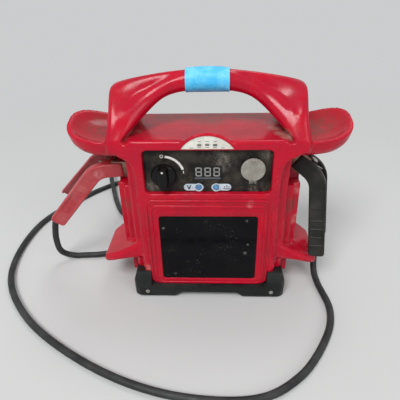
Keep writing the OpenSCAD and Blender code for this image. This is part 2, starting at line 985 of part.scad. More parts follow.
module lead_glands() {
    color("#1f2020")
        for (x = [red_gland_x, black_gland_x])
            translate([x, 0, gland_z])
                difference() {
                    union() {
                        bar_y(gland_d - 4 - 2 * gap, rear_y - wall - 3, rear_y + 1);
                        bar_y(gland_d, rear_y + 0.01, rear_y + 3);
                        translate([0, rear_y + 10, 0])
                            rotate([90, 0, 0]) cylinder(d1 = lead_d + 3, d2 = gland_d - 2, h = 8);
                    }
                    bar_y(lead_d, rear_y - 10, rear_y + 12);
                }
}

// ---- Tape ----

tape_t = 2.2;

// Band of tape wound round the middle of the grip
module handle_tape() {
    color("#63b6dc")
        difference() {
            intersection() {
                handle_solid(gap + tape_t);
                translate([-tape_w / 2, -grip_d, grip_under_z - 10])
                    cube([tape_w, 2 * grip_d, grip_d + 20]);
            }
            handle_solid(gap);
        }
}

// ---- Clamps ----
// A clamp lies along X from its jaw tips at the origin, opens along Y and is clamp_w wide along Z.
// Its body, on the +Y side, holds the lead; its lever, on the other side, swings about the pin.

nose_l = 32;
bend_r = 36;
bend_angle = 50;
cover_start = 8;
pivot_s = 30;
jaw_plate_t = 3;
jaw_tooth = 1.5;
jaw_l = 24;
jaw_over = 2;
channel_t = 2.6;
ear_t = 2.2;
ear_r = 7;
nose_spread = 19;
grip_spread = 37;
grip_rib = 1;
red_roll = 15;
black_yaw = -15;
black_dip = 34;
red_tip = [-122, 0, 206];
black_tip = [127, 2, 221];

// Half opening of the jaws: the lug, and the room that a clamp turned on it needs
jaw_half = (lug_t / 2 + (clamp_w / 2 + jaw_over) * sin(red_roll)) / cos(red_roll) + gap;
jaw_top = jaw_half + jaw_tooth + jaw_plate_t;
bend_l = bend_r * bend_angle * PI / 180;
grip_start = nose_l + bend_l;
clamp_path_l = grip_start + clamp_grip_l;

// Place [x, z, angle] on the middle line of a clamp at length l from its tip
function clamp_place(l) =
    l <= nose_l
        ? [l, 0, 0]
        : l <= grip_start
            ? let (a = (l - nose_l) * 180 / PI / bend_r)
              [nose_l + bend_r * sin(a), -bend_r * (1 - cos(a)), -a]
            : let (rest = l - grip_start)
              [
                  nose_l + bend_r * sin(bend_angle) + rest * cos(bend_angle),
                  -bend_r * (1 - cos(bend_angle)) - rest * sin(bend_angle),
                  -bend_angle
              ];

// How far the outer face of a half lies from the middle plane at length l
function clamp_outer(l) =
    l < nose_l
        ? jaw_half + 6 + (nose_spread - jaw_half - 6) * pow(l / nose_l, 0.7)
        : nose_spread + (grip_spread - nose_spread) * (l - nose_l) / (clamp_path_l - nose_l);

// Ring of the open channel that a half is pressed from: width w, flange depth deep, less over the jaw
function channel_ring(l, w, deep) =
    let (
        p = clamp_place(l),
        out = clamp_outer(l),
        h = l < jaw_l + 1 ? min(deep, out - jaw_top - gap) : deep,
        c = min(2, h - 0.5),
        t = channel_t,
        s = w / 2
    )
    [
        for (q = [
            [-s, out - h], [-s, out - c], [-s + c, out], [s - c, out], [s, out - c],
            [s, out - h], [s - t, out - h], [s - t, out - t], [-s + t, out - t], [-s + t, out - h]
        ])
            [p[0] - q[0] * sin(p[2]), q[1], p[1] + q[0] * cos(p[2])]
    ];

module channel(rings) {
    n = len(rings[0]);
    m = len(rings);
    sides = [
        for (i = [0:m - 2], j = [0:n - 1])
            let (k = (j + 1) % n)
            each [[i * n + j, (i + 1) * n + k, i * n + k], [i * n + j, (i + 1) * n + j, (i + 1) * n + k]]
    ];
    cap = [[0, 1, 8, 9], [1, 2, 7, 8], [2, 3, 7], [3, 4, 7], [4, 5, 6, 7]];
    end_cap = [for (f = cap) [for (i = [len(f) - 1:-1:0]) (m - 1) * n + f[i]]];
    polyhedron([for (ring = rings) each ring], concat(sides, cap, end_cap), convexity = 6);
}

module clamp_channel() {
    w = clamp_w;
    channel(concat(
        [channel_ring(cover_start, w - 3, 6), channel_ring(cover_start + 2, w, 7.5)],
        [channel_ring(jaw_l + 0.5, w, 9), channel_ring(jaw_l + 1.5, w, 9), channel_ring(nose_l, w, 10)],
        [for (i = [1:4]) channel_ring(nose_l + bend_l * i / 4, w, 10)],
        [for (i = [0.3, 0.7, 0.96]) channel_ring(grip_start + clamp_grip_l * i, w, 10 - 3 * i)],
        [channel_ring(clamp_path_l, w - 4, 5)]
    ));
}

// Ribs across the outer face of the grip: three at the bend and four near its end
module grip_ribs() {
    for (l = [6, 12, 18, clamp_grip_l - 40, clamp_grip_l - 32, clamp_grip_l - 24, clamp_grip_l - 16])
        let (at = grip_start + l, p = clamp_place(at))
            translate([p[0], clamp_outer(at) - 1, p[1]])
                rotate([0, -p[2], 0]) cube([1.8, 2 + grip_rib, clamp_w - 6], center = true);
}

// Two ears that reach in from a half to the pivot
module ears(outer_z) {
    for (z = [-outer_z, outer_z - ear_t])
        translate([0, 0, z])
            linear_extrude(ear_t) {
                translate([pivot_s, 0]) circle(ear_r);
                polygon([
                    [jaw_l + 1.2, jaw_half + 7], [pivot_s - ear_r + 0.6, 0], [pivot_s + ear_r - 0.6, 0],
                    [pivot_s + 10, jaw_half + 7]
                ]);
            }
}

module clamp_half(outer_z) {
    difference() {
        union() {
            clamp_channel();
            grip_ribs();
            ears(outer_z);
        }
        translate([pivot_s, 0, -clamp_w]) cylinder(d = clamp_pin_d + 2 * running, h = 2 * clamp_w);
    }
}

// Toothed strip that bites, wider than the cover that holds it
module jaw() {
    teeth = 8;
    pitch = jaw_l / teeth;
    y1 = jaw_half + jaw_tooth;
    y2 = jaw_top;
    translate([0, 0, -clamp_w / 2 - jaw_over])
        linear_extrude(clamp_w + 2 * jaw_over)
            polygon(concat(
                [for (i = [0:teeth - 1]) each [[i * pitch, y1], [(i + 0.5) * pitch, jaw_half]]],
                [[jaw_l, y1], [jaw_l, y2], [1, y2], [0, y2 - 1]]
            ));
    translate([cover_start + 3, y2 - 0.01, -clamp_w / 2 + channel_t + gap])
        cube([jaw_l - cover_start - 6, clamp_outer(cover_start + 3) - channel_t - gap - y2,
              clamp_w - 2 * channel_t - 2 * gap]);
}

module clamp_pin() {
    head = 1.4;
    translate([pivot_s, 0, 0]) {
        cylinder(d = clamp_pin_d, h = clamp_w + 2 * gap, center = true);
        for (s = [-1, 1])
            translate([0, 0, s * (clamp_w / 2 + gap + head / 2)])
                cylinder(d = clamp_pin_d + 4, h = head, center = true);
    }
}

// ---- Tubes ----

function direction_at(route, i) =
    i == 0
        ? unit(route[1] - route[0])
        : i == len(route) - 1
            ? unit(route[i] - route[i - 1])
            : unit(unit(route[i] - route[i - 1]) + unit(route[i + 1] - route[i]));

// Each frame takes its side direction from the one before, so a tube does not twist
function tube_frames(route, i = 0, side = undef, frames = []) =
    i == len(route)
        ? frames
        : let (
              d = direction_at(route, i),
              start = is_undef(side) ? (abs(d[2]) < 0.9 ? [0, 0, 1] : [1, 0, 0]) : side,
              u = unit(start - d * (start * d))
          )
          tube_frames(route, i + 1, u, concat(frames, [[u, cross(d, u)]]));

function tube_rings(route, r, sides) =
    let (frames = tube_frames(route))
    [
        for (i = [0:len(route) - 1])
            [
                for (j = [0:sides - 1])
                    let (a = 360 * (j + 0.5) / sides)
                    route[i] + r * (frames[i][0] * cos(a) + frames[i][1] * sin(a))
            ]
    ];

module tube(route, d, sides) {
    loft(tube_rings(route, d / 2, sides));
}

// Curve through every point of a route, with n steps from each to the next
function smooth(route, n) =
    [
        for (i = [0:len(route) - 2], k = [0:n - 1])
            let (
                a = route[max(i - 1, 0)],
                b = route[i],
                c = route[i + 1],
                d = route[min(i + 2, len(route) - 1)],
                t = k / n
            )
            b + 0.5 * t * (c - a + t * (2 * a - 5 * b + 4 * c - d + t * (3 * b - a - 3 * c + d))),
        route[len(route) - 1]
    ];

// Curve through a route that nowhere sinks below a lead lying on the floor
function smoothed(route, n) = [for (p = smooth(route, n)) [p[0], p[1], max(p[2], floor_lead_z)]];

function route_length(route) = len(route) < 2 ? 0 :
    [for (i = [1:len(route) - 1]) norm(route[i] - route[i - 1])] * [for (i = [1:len(route) - 1]) 1];

// Least gap between the surfaces of turns that lie more than skip points apart
function least_gap(route, d, skip) =
    min([
        for (i = [0:len(route) - 1 - skip], j = [i + skip:len(route) - 1])
            norm(route[i] - route[j])
    ]) - d;

// ---- Springs ----

spring_wire = 2;
spring_mean_r = clamp_pin_d / 2 + spring_wire / 2 + 3;
spring_pitch = spring_wire + 0.6;
spring_turns = 4;
spring_leg = 24;
spring_lean = 14;
spring_sides = 6;
spring_rings_per_turn = 8;
spring_sweep = 360 * spring_turns - 180 - 2 * spring_lean;
spring_steps = round(spring_rings_per_turn * spring_sweep / 360);

function spring_coil_point(i) =
    let (f = i / spring_steps, a = -90 - spring_lean - spring_sweep * f)
    [
        pivot_s + spring_mean_r * cos(a),
        spring_mean_r * sin(a),
        spring_pitch * spring_sweep / 360 * (f - 0.5)
    ];

// Torsion spring: turns round the pin and a leg inside each half
function spring_points() =
    let (
        a = spring_coil_point(0),
        b = spring_coil_point(spring_steps),
        reach = [cos(spring_lean), sin(spring_lean)] * spring_leg
    )
    concat(
        [[a[0] + reach[0], a[1] - reach[1], a[2]]],
        [for (i = [0:spring_steps]) spring_coil_point(i)],
        [[b[0] + reach[0], b[1] + reach[1], b[2]]]
    );

echo(spring_least_gap = least_gap([for (i = [0:spring_steps]) spring_coil_point(i)], spring_wire, 5));

module clamp_spring() {
    tube(spring_points(), spring_wire, spring_sides);
}

// ---- Boots ----

boot_start = 24;
boot_end = 5;
boot_d = lead_d + 3.4;
boot_grip = 12;

// Point of a clamp on the line of its lead, l along the grip from the end of the channel
function lead_point(l) =
    let (p = clamp_place(clamp_path_l + l))
    [p[0], clamp_outer(clamp_path_l - boot_start) - channel_t - gap - boot_d / 2, p[1]];

// Moulded sleeve that holds the lead inside the body of a clamp
module lead_boot() {
    translate(lead_point(-boot_start))
        rotate([0, 90 + bend_angle, 0])
            difference() {
                cylinder(d1 = boot_d, d2 = boot_d - 1, h = boot_start + boot_end);
                translate([0, 0, -1]) cylinder(d = lead_d, h = boot_start + boot_end + 2);
            }
}

// ---- Placed clamps ----

function turn_x(p, a) = [p[0], p[1] * cos(a) - p[2] * sin(a), p[1] * sin(a) + p[2] * cos(a)];

function turn_y(p, a) = [p[0] * cos(a) + p[2] * sin(a), p[1], -p[0] * sin(a) + p[2] * cos(a)];

function turn_z(p, a) = [p[0] * cos(a) - p[1] * sin(a), p[0] * sin(a) + p[1] * cos(a), p[2]];

function red_world(p) = red_tip + turn_x([-p[0], -p[1], p[2]], red_roll);

function black_world(p) = black_tip + turn_z(turn_y(p, black_dip), black_yaw);

module at_red() {
    translate(red_tip) rotate([red_roll, 0, 0]) rotate([0, 0, 180]) children();
}

module at_black() {
    translate(black_tip) rotate([0, 0, black_yaw]) rotate([0, black_dip, 0]) children();
}

module clamp_body() {
    clamp_half(clamp_w / 2);
}

module clamp_lever() {
    mirror([0, 1, 0]) clamp_half(clamp_w / 2 - ear_t - gap);
}

module red_clamp_body() {
    color(clamp_red) at_red() clamp_body();
}

module red_clamp_lever() {
    color(clamp_red) at_red() clamp_lever();
}

module red_body_jaw() {
    color(copper) at_red() jaw();
}

module red_lever_jaw() {
    color(copper) at_red() mirror([0, 1, 0]) jaw();
}

module red_clamp_pin() {
    color(steel) at_red() clamp_pin();
}

module red_clamp_spring() {
    color(steel) at_red() clamp_spring();
}

module red_lead_boot() {
    color(lead_black) at_red() lead_boot();
}

module black_clamp_body() {
    color(clamp_black) at_black() clamp_body();
}

module black_clamp_lever() {
    color(clamp_black) at_black() clamp_lever();
}

module black_body_jaw() {
    color(copper) at_black() jaw();
}

module black_lever_jaw() {
    color(copper) at_black() mirror([0, 1, 0]) jaw();
}

module black_clamp_pin() {
    color(steel) at_black() clamp_pin();
}

module black_clamp_spring() {
    color(steel) at_black() clamp_spring();
}

module black_lead_boot() {
    color(lead_black) at_black() lead_boot();
}

// ---- Leads ----

lead_sides = 10;
floor_lead_z = lead_d / 2;
gland_face_y = rear_y - wall;
coil_mean_r = 5 * lead_d;
coil_turns = 3.75;
coil_pitch = lead_d + 0.7;
coil_min_r = coil_mean_r - coil_pitch * coil_turns / 4;
coil_max_r = coil_mean_r + coil_pitch * coil_turns / 4;
coil_centre = [red_gland_x + coil_max_r, 168];
coil_rings_per_turn = 24;
coil_steps = coil_turns * coil_rings_per_turn;

// Spirals in on the floor, climbs a layer in the half turn where it reverses, spirals out on top
function coil_point(i) =
    let (
        u = i / coil_rings_per_turn,
        away = u - coil_turns / 2,
        r = coil_min_r + coil_pitch * abs(away),
        a = 360 * u - 90,
        up = max(0, min(1, away * 2 + 0.5))
    )
    [coil_centre[0] + r * cos(a), coil_centre[1] + r * sin(a), floor_lead_z + coil_pitch * up];

coil_in = [coil_centre[0] - lead_d, coil_centre[1] - coil_max_r, floor_lead_z];
coil_out = [coil_centre[0] - coil_max_r, coil_centre[1] - lead_d, floor_lead_z + coil_pitch];
coil_route = concat([coil_in], [for (i = [0:coil_steps]) coil_point(i)], [coil_out]);

// Red lead from the clamp to the floor and round the rear corner of the boot to its coil
red_route = concat(
    [red_world(lead_point(boot_end - boot_grip)), red_world(lead_point(boot_end + 4))],
    smoothed([
        red_world(lead_point(boot_end + 10)), [-270, 8, 58], [-270, 18, 22], [-246, 28, floor_lead_z],
        [-205, 32, floor_lead_z], [-168, 44, floor_lead_z], [-140, 72, floor_lead_z],
        [-108, 96, floor_lead_z], [-64, coil_in[1], floor_lead_z], coil_in - [lead_d, 0, 0]
    ], 2),
    [coil_in]
);

red_tail_route = concat(
    [coil_out],
    smoothed([
        coil_out - [0, lead_d, 0], [red_gland_x, 128, 28], [red_gland_x, 104, 50],
        [red_gland_x, rear_y + 24, gland_z - 2], [red_gland_x, rear_y + 10, gland_z]
    ], 1),
    [[red_gland_x, gland_face_y, gland_z]]
);

// Black lead: a wide loop over the floor in front, a small one behind, and back to its gland
black_route = concat(
    [black_world(lead_point(boot_end - boot_grip)), black_world(lead_point(boot_end + 2))],
    smoothed([
        black_world(lead_point(boot_end + 8)), [182, 6, 34], [179, -14, 12], [181, -45, floor_lead_z],
        [187, -102, floor_lead_z], [169, -156, floor_lead_z], [121, -220, floor_lead_z],
        [54, -254, floor_lead_z],
        [-58, -247, floor_lead_z], [-174, -201, floor_lead_z], [-285, -121, floor_lead_z],
        [-353, -15, floor_lead_z], [-358, 130, floor_lead_z], [-297, 247, floor_lead_z],
        [-244, 308, floor_lead_z], [-206, 336, floor_lead_z], [-196, 372, floor_lead_z],
        [-220, 396, floor_lead_z], [-252, 378, 10], [-252, 332, 20], [-236, 281, 10],
        [-216, 224, floor_lead_z],
        [-190, 172, 7], [-150, 138, 22], [-106, 114, 48], [black_gland_x, rear_y + 28, gland_z],
        [black_gland_x, rear_y + 10, gland_z]
    ], 2),
    [[black_gland_x, gland_face_y, gland_z]]
);

echo(coil_least_gap = least_gap(coil_route, lead_d, 8));
echo(red_length = route_length(concat(red_route, coil_route, red_tail_route)));
echo(black_length = route_length(black_route));

module red_lead() {
    color(lead_black) tube(red_route, lead_d, lead_sides);
}

module red_lead_coil() {
    color(lead_black) tube(coil_route, lead_d, 6);
}

module red_lead_tail() {
    color(lead_black) tube(red_tail_route, lead_d, lead_sides);
}

module black_lead() {
    color(lead_black) tube(black_route, lead_d, lead_sides);
}

front_shell();
rear_shell();
base();
rubber_feet();
control_panel();
power_knob();
power_switch();
display_window();
display_module();
voltmeter_switch();
voltmeter_button();
outlet_switch();
outlet_button();
outlet_socket();
outlet_cap();
cap_hinge();
status_window();
status_board();
label_plate();
battery();
battery_terminals();
terminal_bolts();
battery_pads();
circuit_board();
fuse_link();
red_inner_lead();
black_inner_lead();
charge_inlet();
inlet_pins();
lead_glands();
shell_screws();
base_screws();
handle_tape();
red_clamp_body();
red_clamp_lever();
red_body_jaw();
red_lever_jaw();
red_clamp_pin();
red_clamp_spring();
red_lead_boot();
red_lead();
red_lead_coil();
red_lead_tail();
black_clamp_body();
black_clamp_lever();
black_body_jaw();
black_lever_jaw();
black_clamp_pin();
black_clamp_spring();
black_lead_boot();
black_lead();
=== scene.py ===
"""Dressed model of a jump starter pack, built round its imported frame.

Sizes are in millimetres, in the frame of the pack: +Z up, +Y to the rear, the floor at z = 0.
"""

import logging
import math
from collections.abc import Callable, Iterable, Sequence
from dataclasses import dataclass, field
from enum import Enum

import bmesh
import bpy
from mathutils import Matrix, Vector
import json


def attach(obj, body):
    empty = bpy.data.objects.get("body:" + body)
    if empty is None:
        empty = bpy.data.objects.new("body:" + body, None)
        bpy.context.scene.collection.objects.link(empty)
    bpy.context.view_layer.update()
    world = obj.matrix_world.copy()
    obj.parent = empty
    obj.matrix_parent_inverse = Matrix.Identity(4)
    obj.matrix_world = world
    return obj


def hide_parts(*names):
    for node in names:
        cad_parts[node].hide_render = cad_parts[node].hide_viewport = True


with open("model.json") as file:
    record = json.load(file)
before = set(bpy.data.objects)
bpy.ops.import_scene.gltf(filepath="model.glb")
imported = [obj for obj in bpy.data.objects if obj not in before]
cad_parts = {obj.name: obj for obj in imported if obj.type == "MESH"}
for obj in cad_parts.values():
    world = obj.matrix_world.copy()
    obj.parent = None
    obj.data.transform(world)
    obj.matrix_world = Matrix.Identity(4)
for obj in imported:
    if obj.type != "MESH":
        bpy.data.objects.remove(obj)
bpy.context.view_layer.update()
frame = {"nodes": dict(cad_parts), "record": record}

LOG = logging.getLogger("pack")
MM = 0.001

Colour = tuple[float, float, float]
Pair = tuple[float, float]
Ring = list[Vector]
Test = Callable[[bmesh.types.BMEdge], bool]


# ---- Bench: modelling tools ----


class Cut(Enum):
    """What a boolean does with its second solid."""

    TAKE = "DIFFERENCE"
    ADD = "UNION"
    KEEP = "INTERSECT"


class Axis(Enum):
    """Way that a rod runs, as the turns that bring it there from upright."""

    X = (0, math.pi / 2, 0)
    Y = (math.pi / 2, 0, 0)
    Z = (0, 0, 0)


def pick(obj: bpy.types.Object) -> None:
    """Makes one object the only selected and active one.

    Args:
        obj: The object.
    """
    bpy.ops.object.select_all(action="DESELECT")
    obj.select_set(True)
    bpy.context.view_layer.objects.active = obj


def settle() -> bpy.types.Object:
    """Applies the place, turn and scale of the active object and returns it."""
    bpy.ops.object.transform_apply(location=True, rotation=True, scale=True)
    return bpy.context.object


def linked(name: str, mesh: bpy.types.Mesh) -> bpy.types.Object:
    """Puts a mesh into the scene.

    Args:
        name: Name of the object.
        mesh: The mesh.

    Returns:
        The new object, at the origin.
    """
    obj = bpy.data.objects.new(name, mesh)
    bpy.context.scene.collection.objects.link(obj)
    return obj


def mesh_object(
    name: str,
    points: Iterable[Sequence[float]],
    faces: Iterable[Sequence[int]] = (),
    edges: Iterable[Sequence[int]] = (),
) -> bpy.types.Object:
    """Makes a mesh object from points in millimetres.

    Args:
        name: Name of the object.
        points: Its vertices.
        faces: Vertex numbers of each face.
        edges: Vertex numbers of each loose edge.

    Returns:
        The linked object, at the origin.
    """
    mesh = bpy.data.meshes.new(name)
    mesh.from_pydata([tuple(c * MM for c in p) for p in points], list(edges), [tuple(f) for f in faces])
    return linked(name, mesh)


def face_outwards(obj: bpy.types.Object) -> None:
    """Merges doubles and turns every face outwards.

    Args:
        obj: The object.
    """
    pick(obj)
    bpy.ops.object.mode_set(mode="EDIT")
    bpy.ops.mesh.select_all(action="SELECT")
    bpy.ops.mesh.remove_doubles(threshold=1e-6)
    bpy.ops.mesh.normals_make_consistent(inside=False)
    bpy.ops.object.mode_set(mode="OBJECT")


def loft(name: str, rings: Sequence[Ring]) -> bpy.types.Object:
    """Closed solid through rings of equal count.

    Args:
        name: Name of the object.
        rings: Rings of points in millimetres, all wound the same way.

    Returns:
        The solid, its faces outwards.
    """
    n = len(rings[0])
    points = [p for ring in rings for p in ring]
    faces: list[list[int]] = []
    for i in range(len(rings) - 1):
        for j in range(n):
            k = (j + 1) % n
            faces.append([i * n + j, i * n + k, (i + 1) * n + k, (i + 1) * n + j])
    faces.append(list(range(n))[::-1])
    faces.append([(len(rings) - 1) * n + j for j in range(n)])
    obj = mesh_object(name, points, faces)
    face_outwards(obj)
    return obj


def mirrored_loft(name: str, right: Sequence[Ring]) -> bpy.types.Object:
    """Closed solid through rings up to the middle plane and through their mirror images.

    Args:
        name: Name of the object.
        right: Rings of the right half, the last of them on the middle plane.

    Returns:
        The solid, its faces outwards.
    """
    left = [[Vector((-p.x, p.y, p.z)) for p in ring] for ring in reversed(right[:-1])]
    return loft(name, [*right, *left])


def apply_step(obj: bpy.types.Object, kind: str, **settings: object) -> None:
    """Adds a modifier and applies it.

    Args:
        obj: The object.
        kind: The modifier's type.
        **settings: Its properties.
    """
    step = obj.modifiers.new("step", kind)
    for key, value in settings.items():
        setattr(step, key, value)
    pick(obj)
    bpy.ops.object.modifier_apply(modifier=step.name)


def carve(obj: bpy.types.Object, tool: bpy.types.Object, cut: Cut = Cut.TAKE) -> None:
    """Cuts, adds or keeps a solid with another, which is removed."""
    apply_step(obj, "BOOLEAN", operation=cut.value, object=tool, solver="MANIFOLD")
    bpy.data.meshes.remove(tool.data)


def box(name: str, low: Sequence[float], high: Sequence[float]) -> bpy.types.Object:
    """Box between two corners, from a cube at its size and place.

    Args:
        name: Name of the object.
        low: Its corner with the smallest coordinates.
        high: Its corner with the largest.

    Returns:
        The box, at the origin.
    """
    bpy.ops.object.select_all(action="DESELECT")
    centre = [(a + b) / 2 * MM for a, b in zip(low, high)]
    bpy.ops.mesh.primitive_cube_add(size=1, location=centre)
    obj = bpy.context.object
    obj.name = name
    obj.scale = [(b - a) * MM for a, b in zip(low, high)]
    return settle()


def rod(
    name: str, axis: Axis, centre: Sequence[float], d: float, length: float, sides: int = 64
) -> bpy.types.Object:
    """Cylinder along one axis.

    Args:
        name: Name of the object.
        axis: Way that it runs.
        centre: Its middle.
        d: Its diameter.
        length: Its length.
        sides: Faces round it.

    Returns:
        The cylinder, at the origin.
    """
    bpy.ops.object.select_all(action="DESELECT")
    bpy.ops.mesh.primitive_cylinder_add(
        vertices=sides,
        radius=d / 2 * MM,
        depth=length * MM,
        location=[c * MM for c in centre],
        rotation=axis.value,
    )
    bpy.context.object.name = name
    return settle()


def bar_y(
    name: str, x: float, z: float, d: float, y0: float, y1: float, sides: int = 64
) -> bpy.types.Object:
    """Cylinder along Y from y0 to y1, with its axis at x, z."""
    return rod(name, Axis.Y, (x, (y0 + y1) / 2, z), d, y1 - y0, sides)


def bevel_edges(obj: bpy.types.Object, test: Test, width: float, segments: int) -> None:
    """Bevels the edges that pass a test, in edit mode.

    Args:
        obj: The object.
        test: Tells of an edge whether it is bevelled.
        width: Width of the bevel.
        segments: Segments of the bevel.
    """
    pick(obj)
    bpy.ops.object.mode_set(mode="EDIT")
    bpy.ops.mesh.select_all(action="DESELECT")
    bpy.ops.mesh.select_mode(type="EDGE")
    mesh = bmesh.from_edit_mesh(obj.data)
    for edge in mesh.edges:
        edge.select = test(edge)
    bmesh.update_edit_mesh(obj.data)
    bpy.ops.mesh.bevel(offset=width * MM, segments=segments, affect="EDGES")
    bpy.ops.object.mode_set(mode="OBJECT")


def runs_along_y(edge: bmesh.types.BMEdge) -> bool:
    """Tells whether an edge runs along Y."""
    return abs((edge.verts[1].co - edge.verts[0].co).normalized().y) > 0.99


def shade(obj: bpy.types.Object, angle: float = 35) -> None:
    """Shades smooth, with the edges sharper than an angle kept."""
    pick(obj)
    bpy.ops.object.shade_smooth_by_angle(angle=math.radians(angle))


def soften(obj: bpy.types.Object, width: float, segments: int = 2, angle: float = 35) -> None:
    """Rounds the sharp edges of a finished piece and shades it smooth.

    Args:
        obj: The piece.
        width: Width of the rounding.
        segments: Segments of the rounding.
        angle: Least angle between faces, in degrees, at which an edge is rounded.
    """
    apply_step(
        obj,
        "BEVEL",
        width=width * MM,
        segments=segments,
        limit_method="ANGLE",
        angle_limit=math.radians(angle),
        harden_normals=False,
    )
    shade(obj, angle)


def upright_plate(
    name: str, x: float, z: float, size: Pair, r: float, y0: float, y1: float, soft: float = 0
) -> bpy.types.Object:
    """Rounded plate across Y.

    Args:
        name: Name of the object.
        x: Middle of the plate along X.
        z: Middle of the plate along Z.
        size: Its width and height.
        r: Radius of its corners.
        y0: Its front.
        y1: Its rear.
        soft: Width of the rounding of its remaining edges.

    Returns:
        The plate.
    """
    w, h = size
    obj = box(name, (x - w / 2, y0, z - h / 2), (x + w / 2, y1, z + h / 2))
    bevel_edges(obj, runs_along_y, r, 10)
    if soft:
        soften(obj, soft, 3, 50)
    return obj


def turned(name: str, x: float, z: float, profile: Sequence[Pair], steps: int = 72) -> bpy.types.Object:
    """Solid of revolution about an axis along Y, spun from its profile.

    Args:
        name: Name of the object.
        x: Place of the axis along X.
        z: Place of the axis along Z.
        profile: Pairs of radius and y, from end to end.
        steps: Faces round the axis.

    Returns:
        The solid, its faces outwards.
    """
    points = [(x + r, y, z) for r, y in profile]
    obj = mesh_object(name, points, edges=zip(range(len(points)), range(1, len(points))))
    pick(obj)
    bpy.ops.object.mode_set(mode="EDIT")
    bpy.ops.mesh.select_all(action="SELECT")
    bpy.ops.mesh.spin(steps=steps, angle=2 * math.pi, center=(x * MM, 0, z * MM), axis=(0, 1, 0))
    bpy.ops.object.mode_set(mode="OBJECT")
    face_outwards(obj)
    return obj


def swept(name: str, path: Sequence[Vector], radii: Sequence[float], sides: int) -> bpy.types.Object:
    """Round solid along a path.

    Args:
        name: Name of the object.
        path: Its centre line.
        radii: Its radius at each point of the path.
        sides: Faces round it.

    Returns:
        The solid, shaded smooth.
    """
    rings: list[Ring] = []
    side = Vector((0, 0, 1))
    for i, point in enumerate(path):
        way = (path[min(i + 1, len(path) - 1)] - path[max(i - 1, 0)]).normalized()
        if i == 0 and abs(way.z) > 0.9:
            side = Vector((1, 0, 0))
        side = (side - way * side.dot(way)).normalized()
        other = way.cross(side)
        turns = [2 * math.pi * (j + 0.5) / sides for j in range(sides)]
        rings.append([point + radii[i] * (side * math.cos(a) + other * math.sin(a)) for a in turns])
    obj = loft(name, rings)
    shade(obj, 50)
    return obj


def joined(name: str, parts: Sequence[bpy.types.Object]) -> bpy.types.Object:
    """Joins separate solids.

    Args:
        name: Name of the whole.
        parts: The solids.

    Returns:
        The first of them, which holds them all.
    """
    pick(parts[0])
    for part in parts:
        part.select_set(True)
    bpy.ops.object.join()
    parts[0].name = name
    return parts[0]


def refined(node: str, name: str, width: float, segments: int = 2, angle: float = 30) -> bpy.types.Object:
    """Copy of a frame node with its loose triangles merged and its edges rounded.

    Args:
        node: Name of the node.
        name: Name of the new piece.
        width: Width of the rounding.
        segments: Segments of the rounding.
        angle: Least angle between faces, in degrees, at which an edge is rounded.

    Returns:
        The copy, at the origin.
    """
    obj = linked(name, frame["nodes"][node].data.copy())
    obj.data.materials.clear()
    mesh = bmesh.new()
    mesh.from_mesh(obj.data)
    bmesh.ops.remove_doubles(mesh, verts=mesh.verts, dist=2e-6)
    bmesh.ops.dissolve_limit(mesh, angle_limit=math.radians(1), verts=mesh.verts, edges=mesh.edges)
    mesh.to_mesh(obj.data)
    mesh.free()
    soften(obj, width, segments, angle)
    return obj


# ---- Curves ----


def smooth_path(points: Sequence[Vector], steps: int) -> list[Vector]:
    """Curve through every point of a route.

    Args:
        points: The route.
        steps: Steps of the curve from each point to the next.

    Returns:
        Points of the curve, the route's own among them.
    """
    out: list[Vector] = []
    last = len(points) - 1
    for i in range(last):
        a, b, c, d = points[max(i - 1, 0)], points[i], points[i + 1], points[min(i + 2, last)]
        for k in range(steps):
            t = k / steps
            cubic = t * (3 * b - a - 3 * c + d)
            out.append(b + 0.5 * t * (c - a + t * (2 * a - 5 * b + 4 * c - d + cubic)))
    out.append(points[last].copy())
    return out


def finer(rings: Sequence[Ring], steps: int) -> list[Ring]:
    """Rings with smoothly placed ones added between them."""
    tracks = [smooth_path([ring[j] for ring in rings], steps) for j in range(len(rings[0]))]
    return [[track[i] for track in tracks] for i in range(len(tracks[0]))]


def bezier(points: Sequence[Pair], t: float) -> Vector:
    """Point of a Bezier curve in the X-Z plane.

    Args:
        points: Its control points.
        t: Place along it, from 0 to 1.

    Returns:
        The point.
    """
    left = [Vector(p) for p in points]
    while len(left) > 1:
        left = [a.lerp(b, t) for a, b in zip(left, left[1:])]
    return left[0]


def between(x: float, stops: Sequence[Pair]) -> float:
    """Value at x on a line through stops.

    Args:
        x: Place along the line.
        stops: Pairs of place and value, in rising order.

    Returns:
        The value, held at the first and last stop.
    """
    if x <= stops[0][0]:
        return stops[0][1]
    for (x0, v0), (x1, v1) in zip(stops, stops[1:]):
        if x <= x1:
            return v0 + (v1 - v0) * (x - x0) / (x1 - x0)
    return stops[-1][1]


def held(value: float) -> float:
    """Value held between 0 and 1."""
    return min(max(value, 0), 1)


def smooth_step(low: float, high: float, value: float) -> float:
    """Value's place between two ends, from 0 to 1, with a soft start and end."""
    u = held((value - low) / (high - low))
    return u * u * (3 - 2 * u)


def squircle(a: float, b: float, n: float, turn: float) -> Pair:
    """Point at an angle on the ellipse-like curve of half-axes a and b and exponent n."""
    c, s = math.cos(turn), math.sin(turn)
    return a * math.copysign(abs(c) ** (2 / n), c), b * math.copysign(abs(s) ** (2 / n), s)


def rounded_ring(x: float, z: float, size: Pair, r: float, y: float, steps: int = 10) -> Ring:
    """Ring of a rounded rectangle across Y.

    Args:
        x: Its middle along X.
        z: Its middle along Z.
        size: Its width and height.
        r: Radius of its corners.
        y: Its place along Y.
        steps: Steps round each corner.

    Returns:
        Points of the ring, anticlockwise from the right.
    """
    w, h = size
    out: Ring = []
    for k, (sx, sz) in enumerate(((1, 1), (-1, 1), (-1, -1), (1, -1))):
        corner_x, corner_z = x + sx * (w / 2 - r), z + sz * (h / 2 - r)
        for i in range(steps + 1):
            a = math.pi / 2 * (k + i / steps)
            out.append(Vector((corner_x + r * math.cos(a), y, corner_z + r * math.sin(a))))
    return out


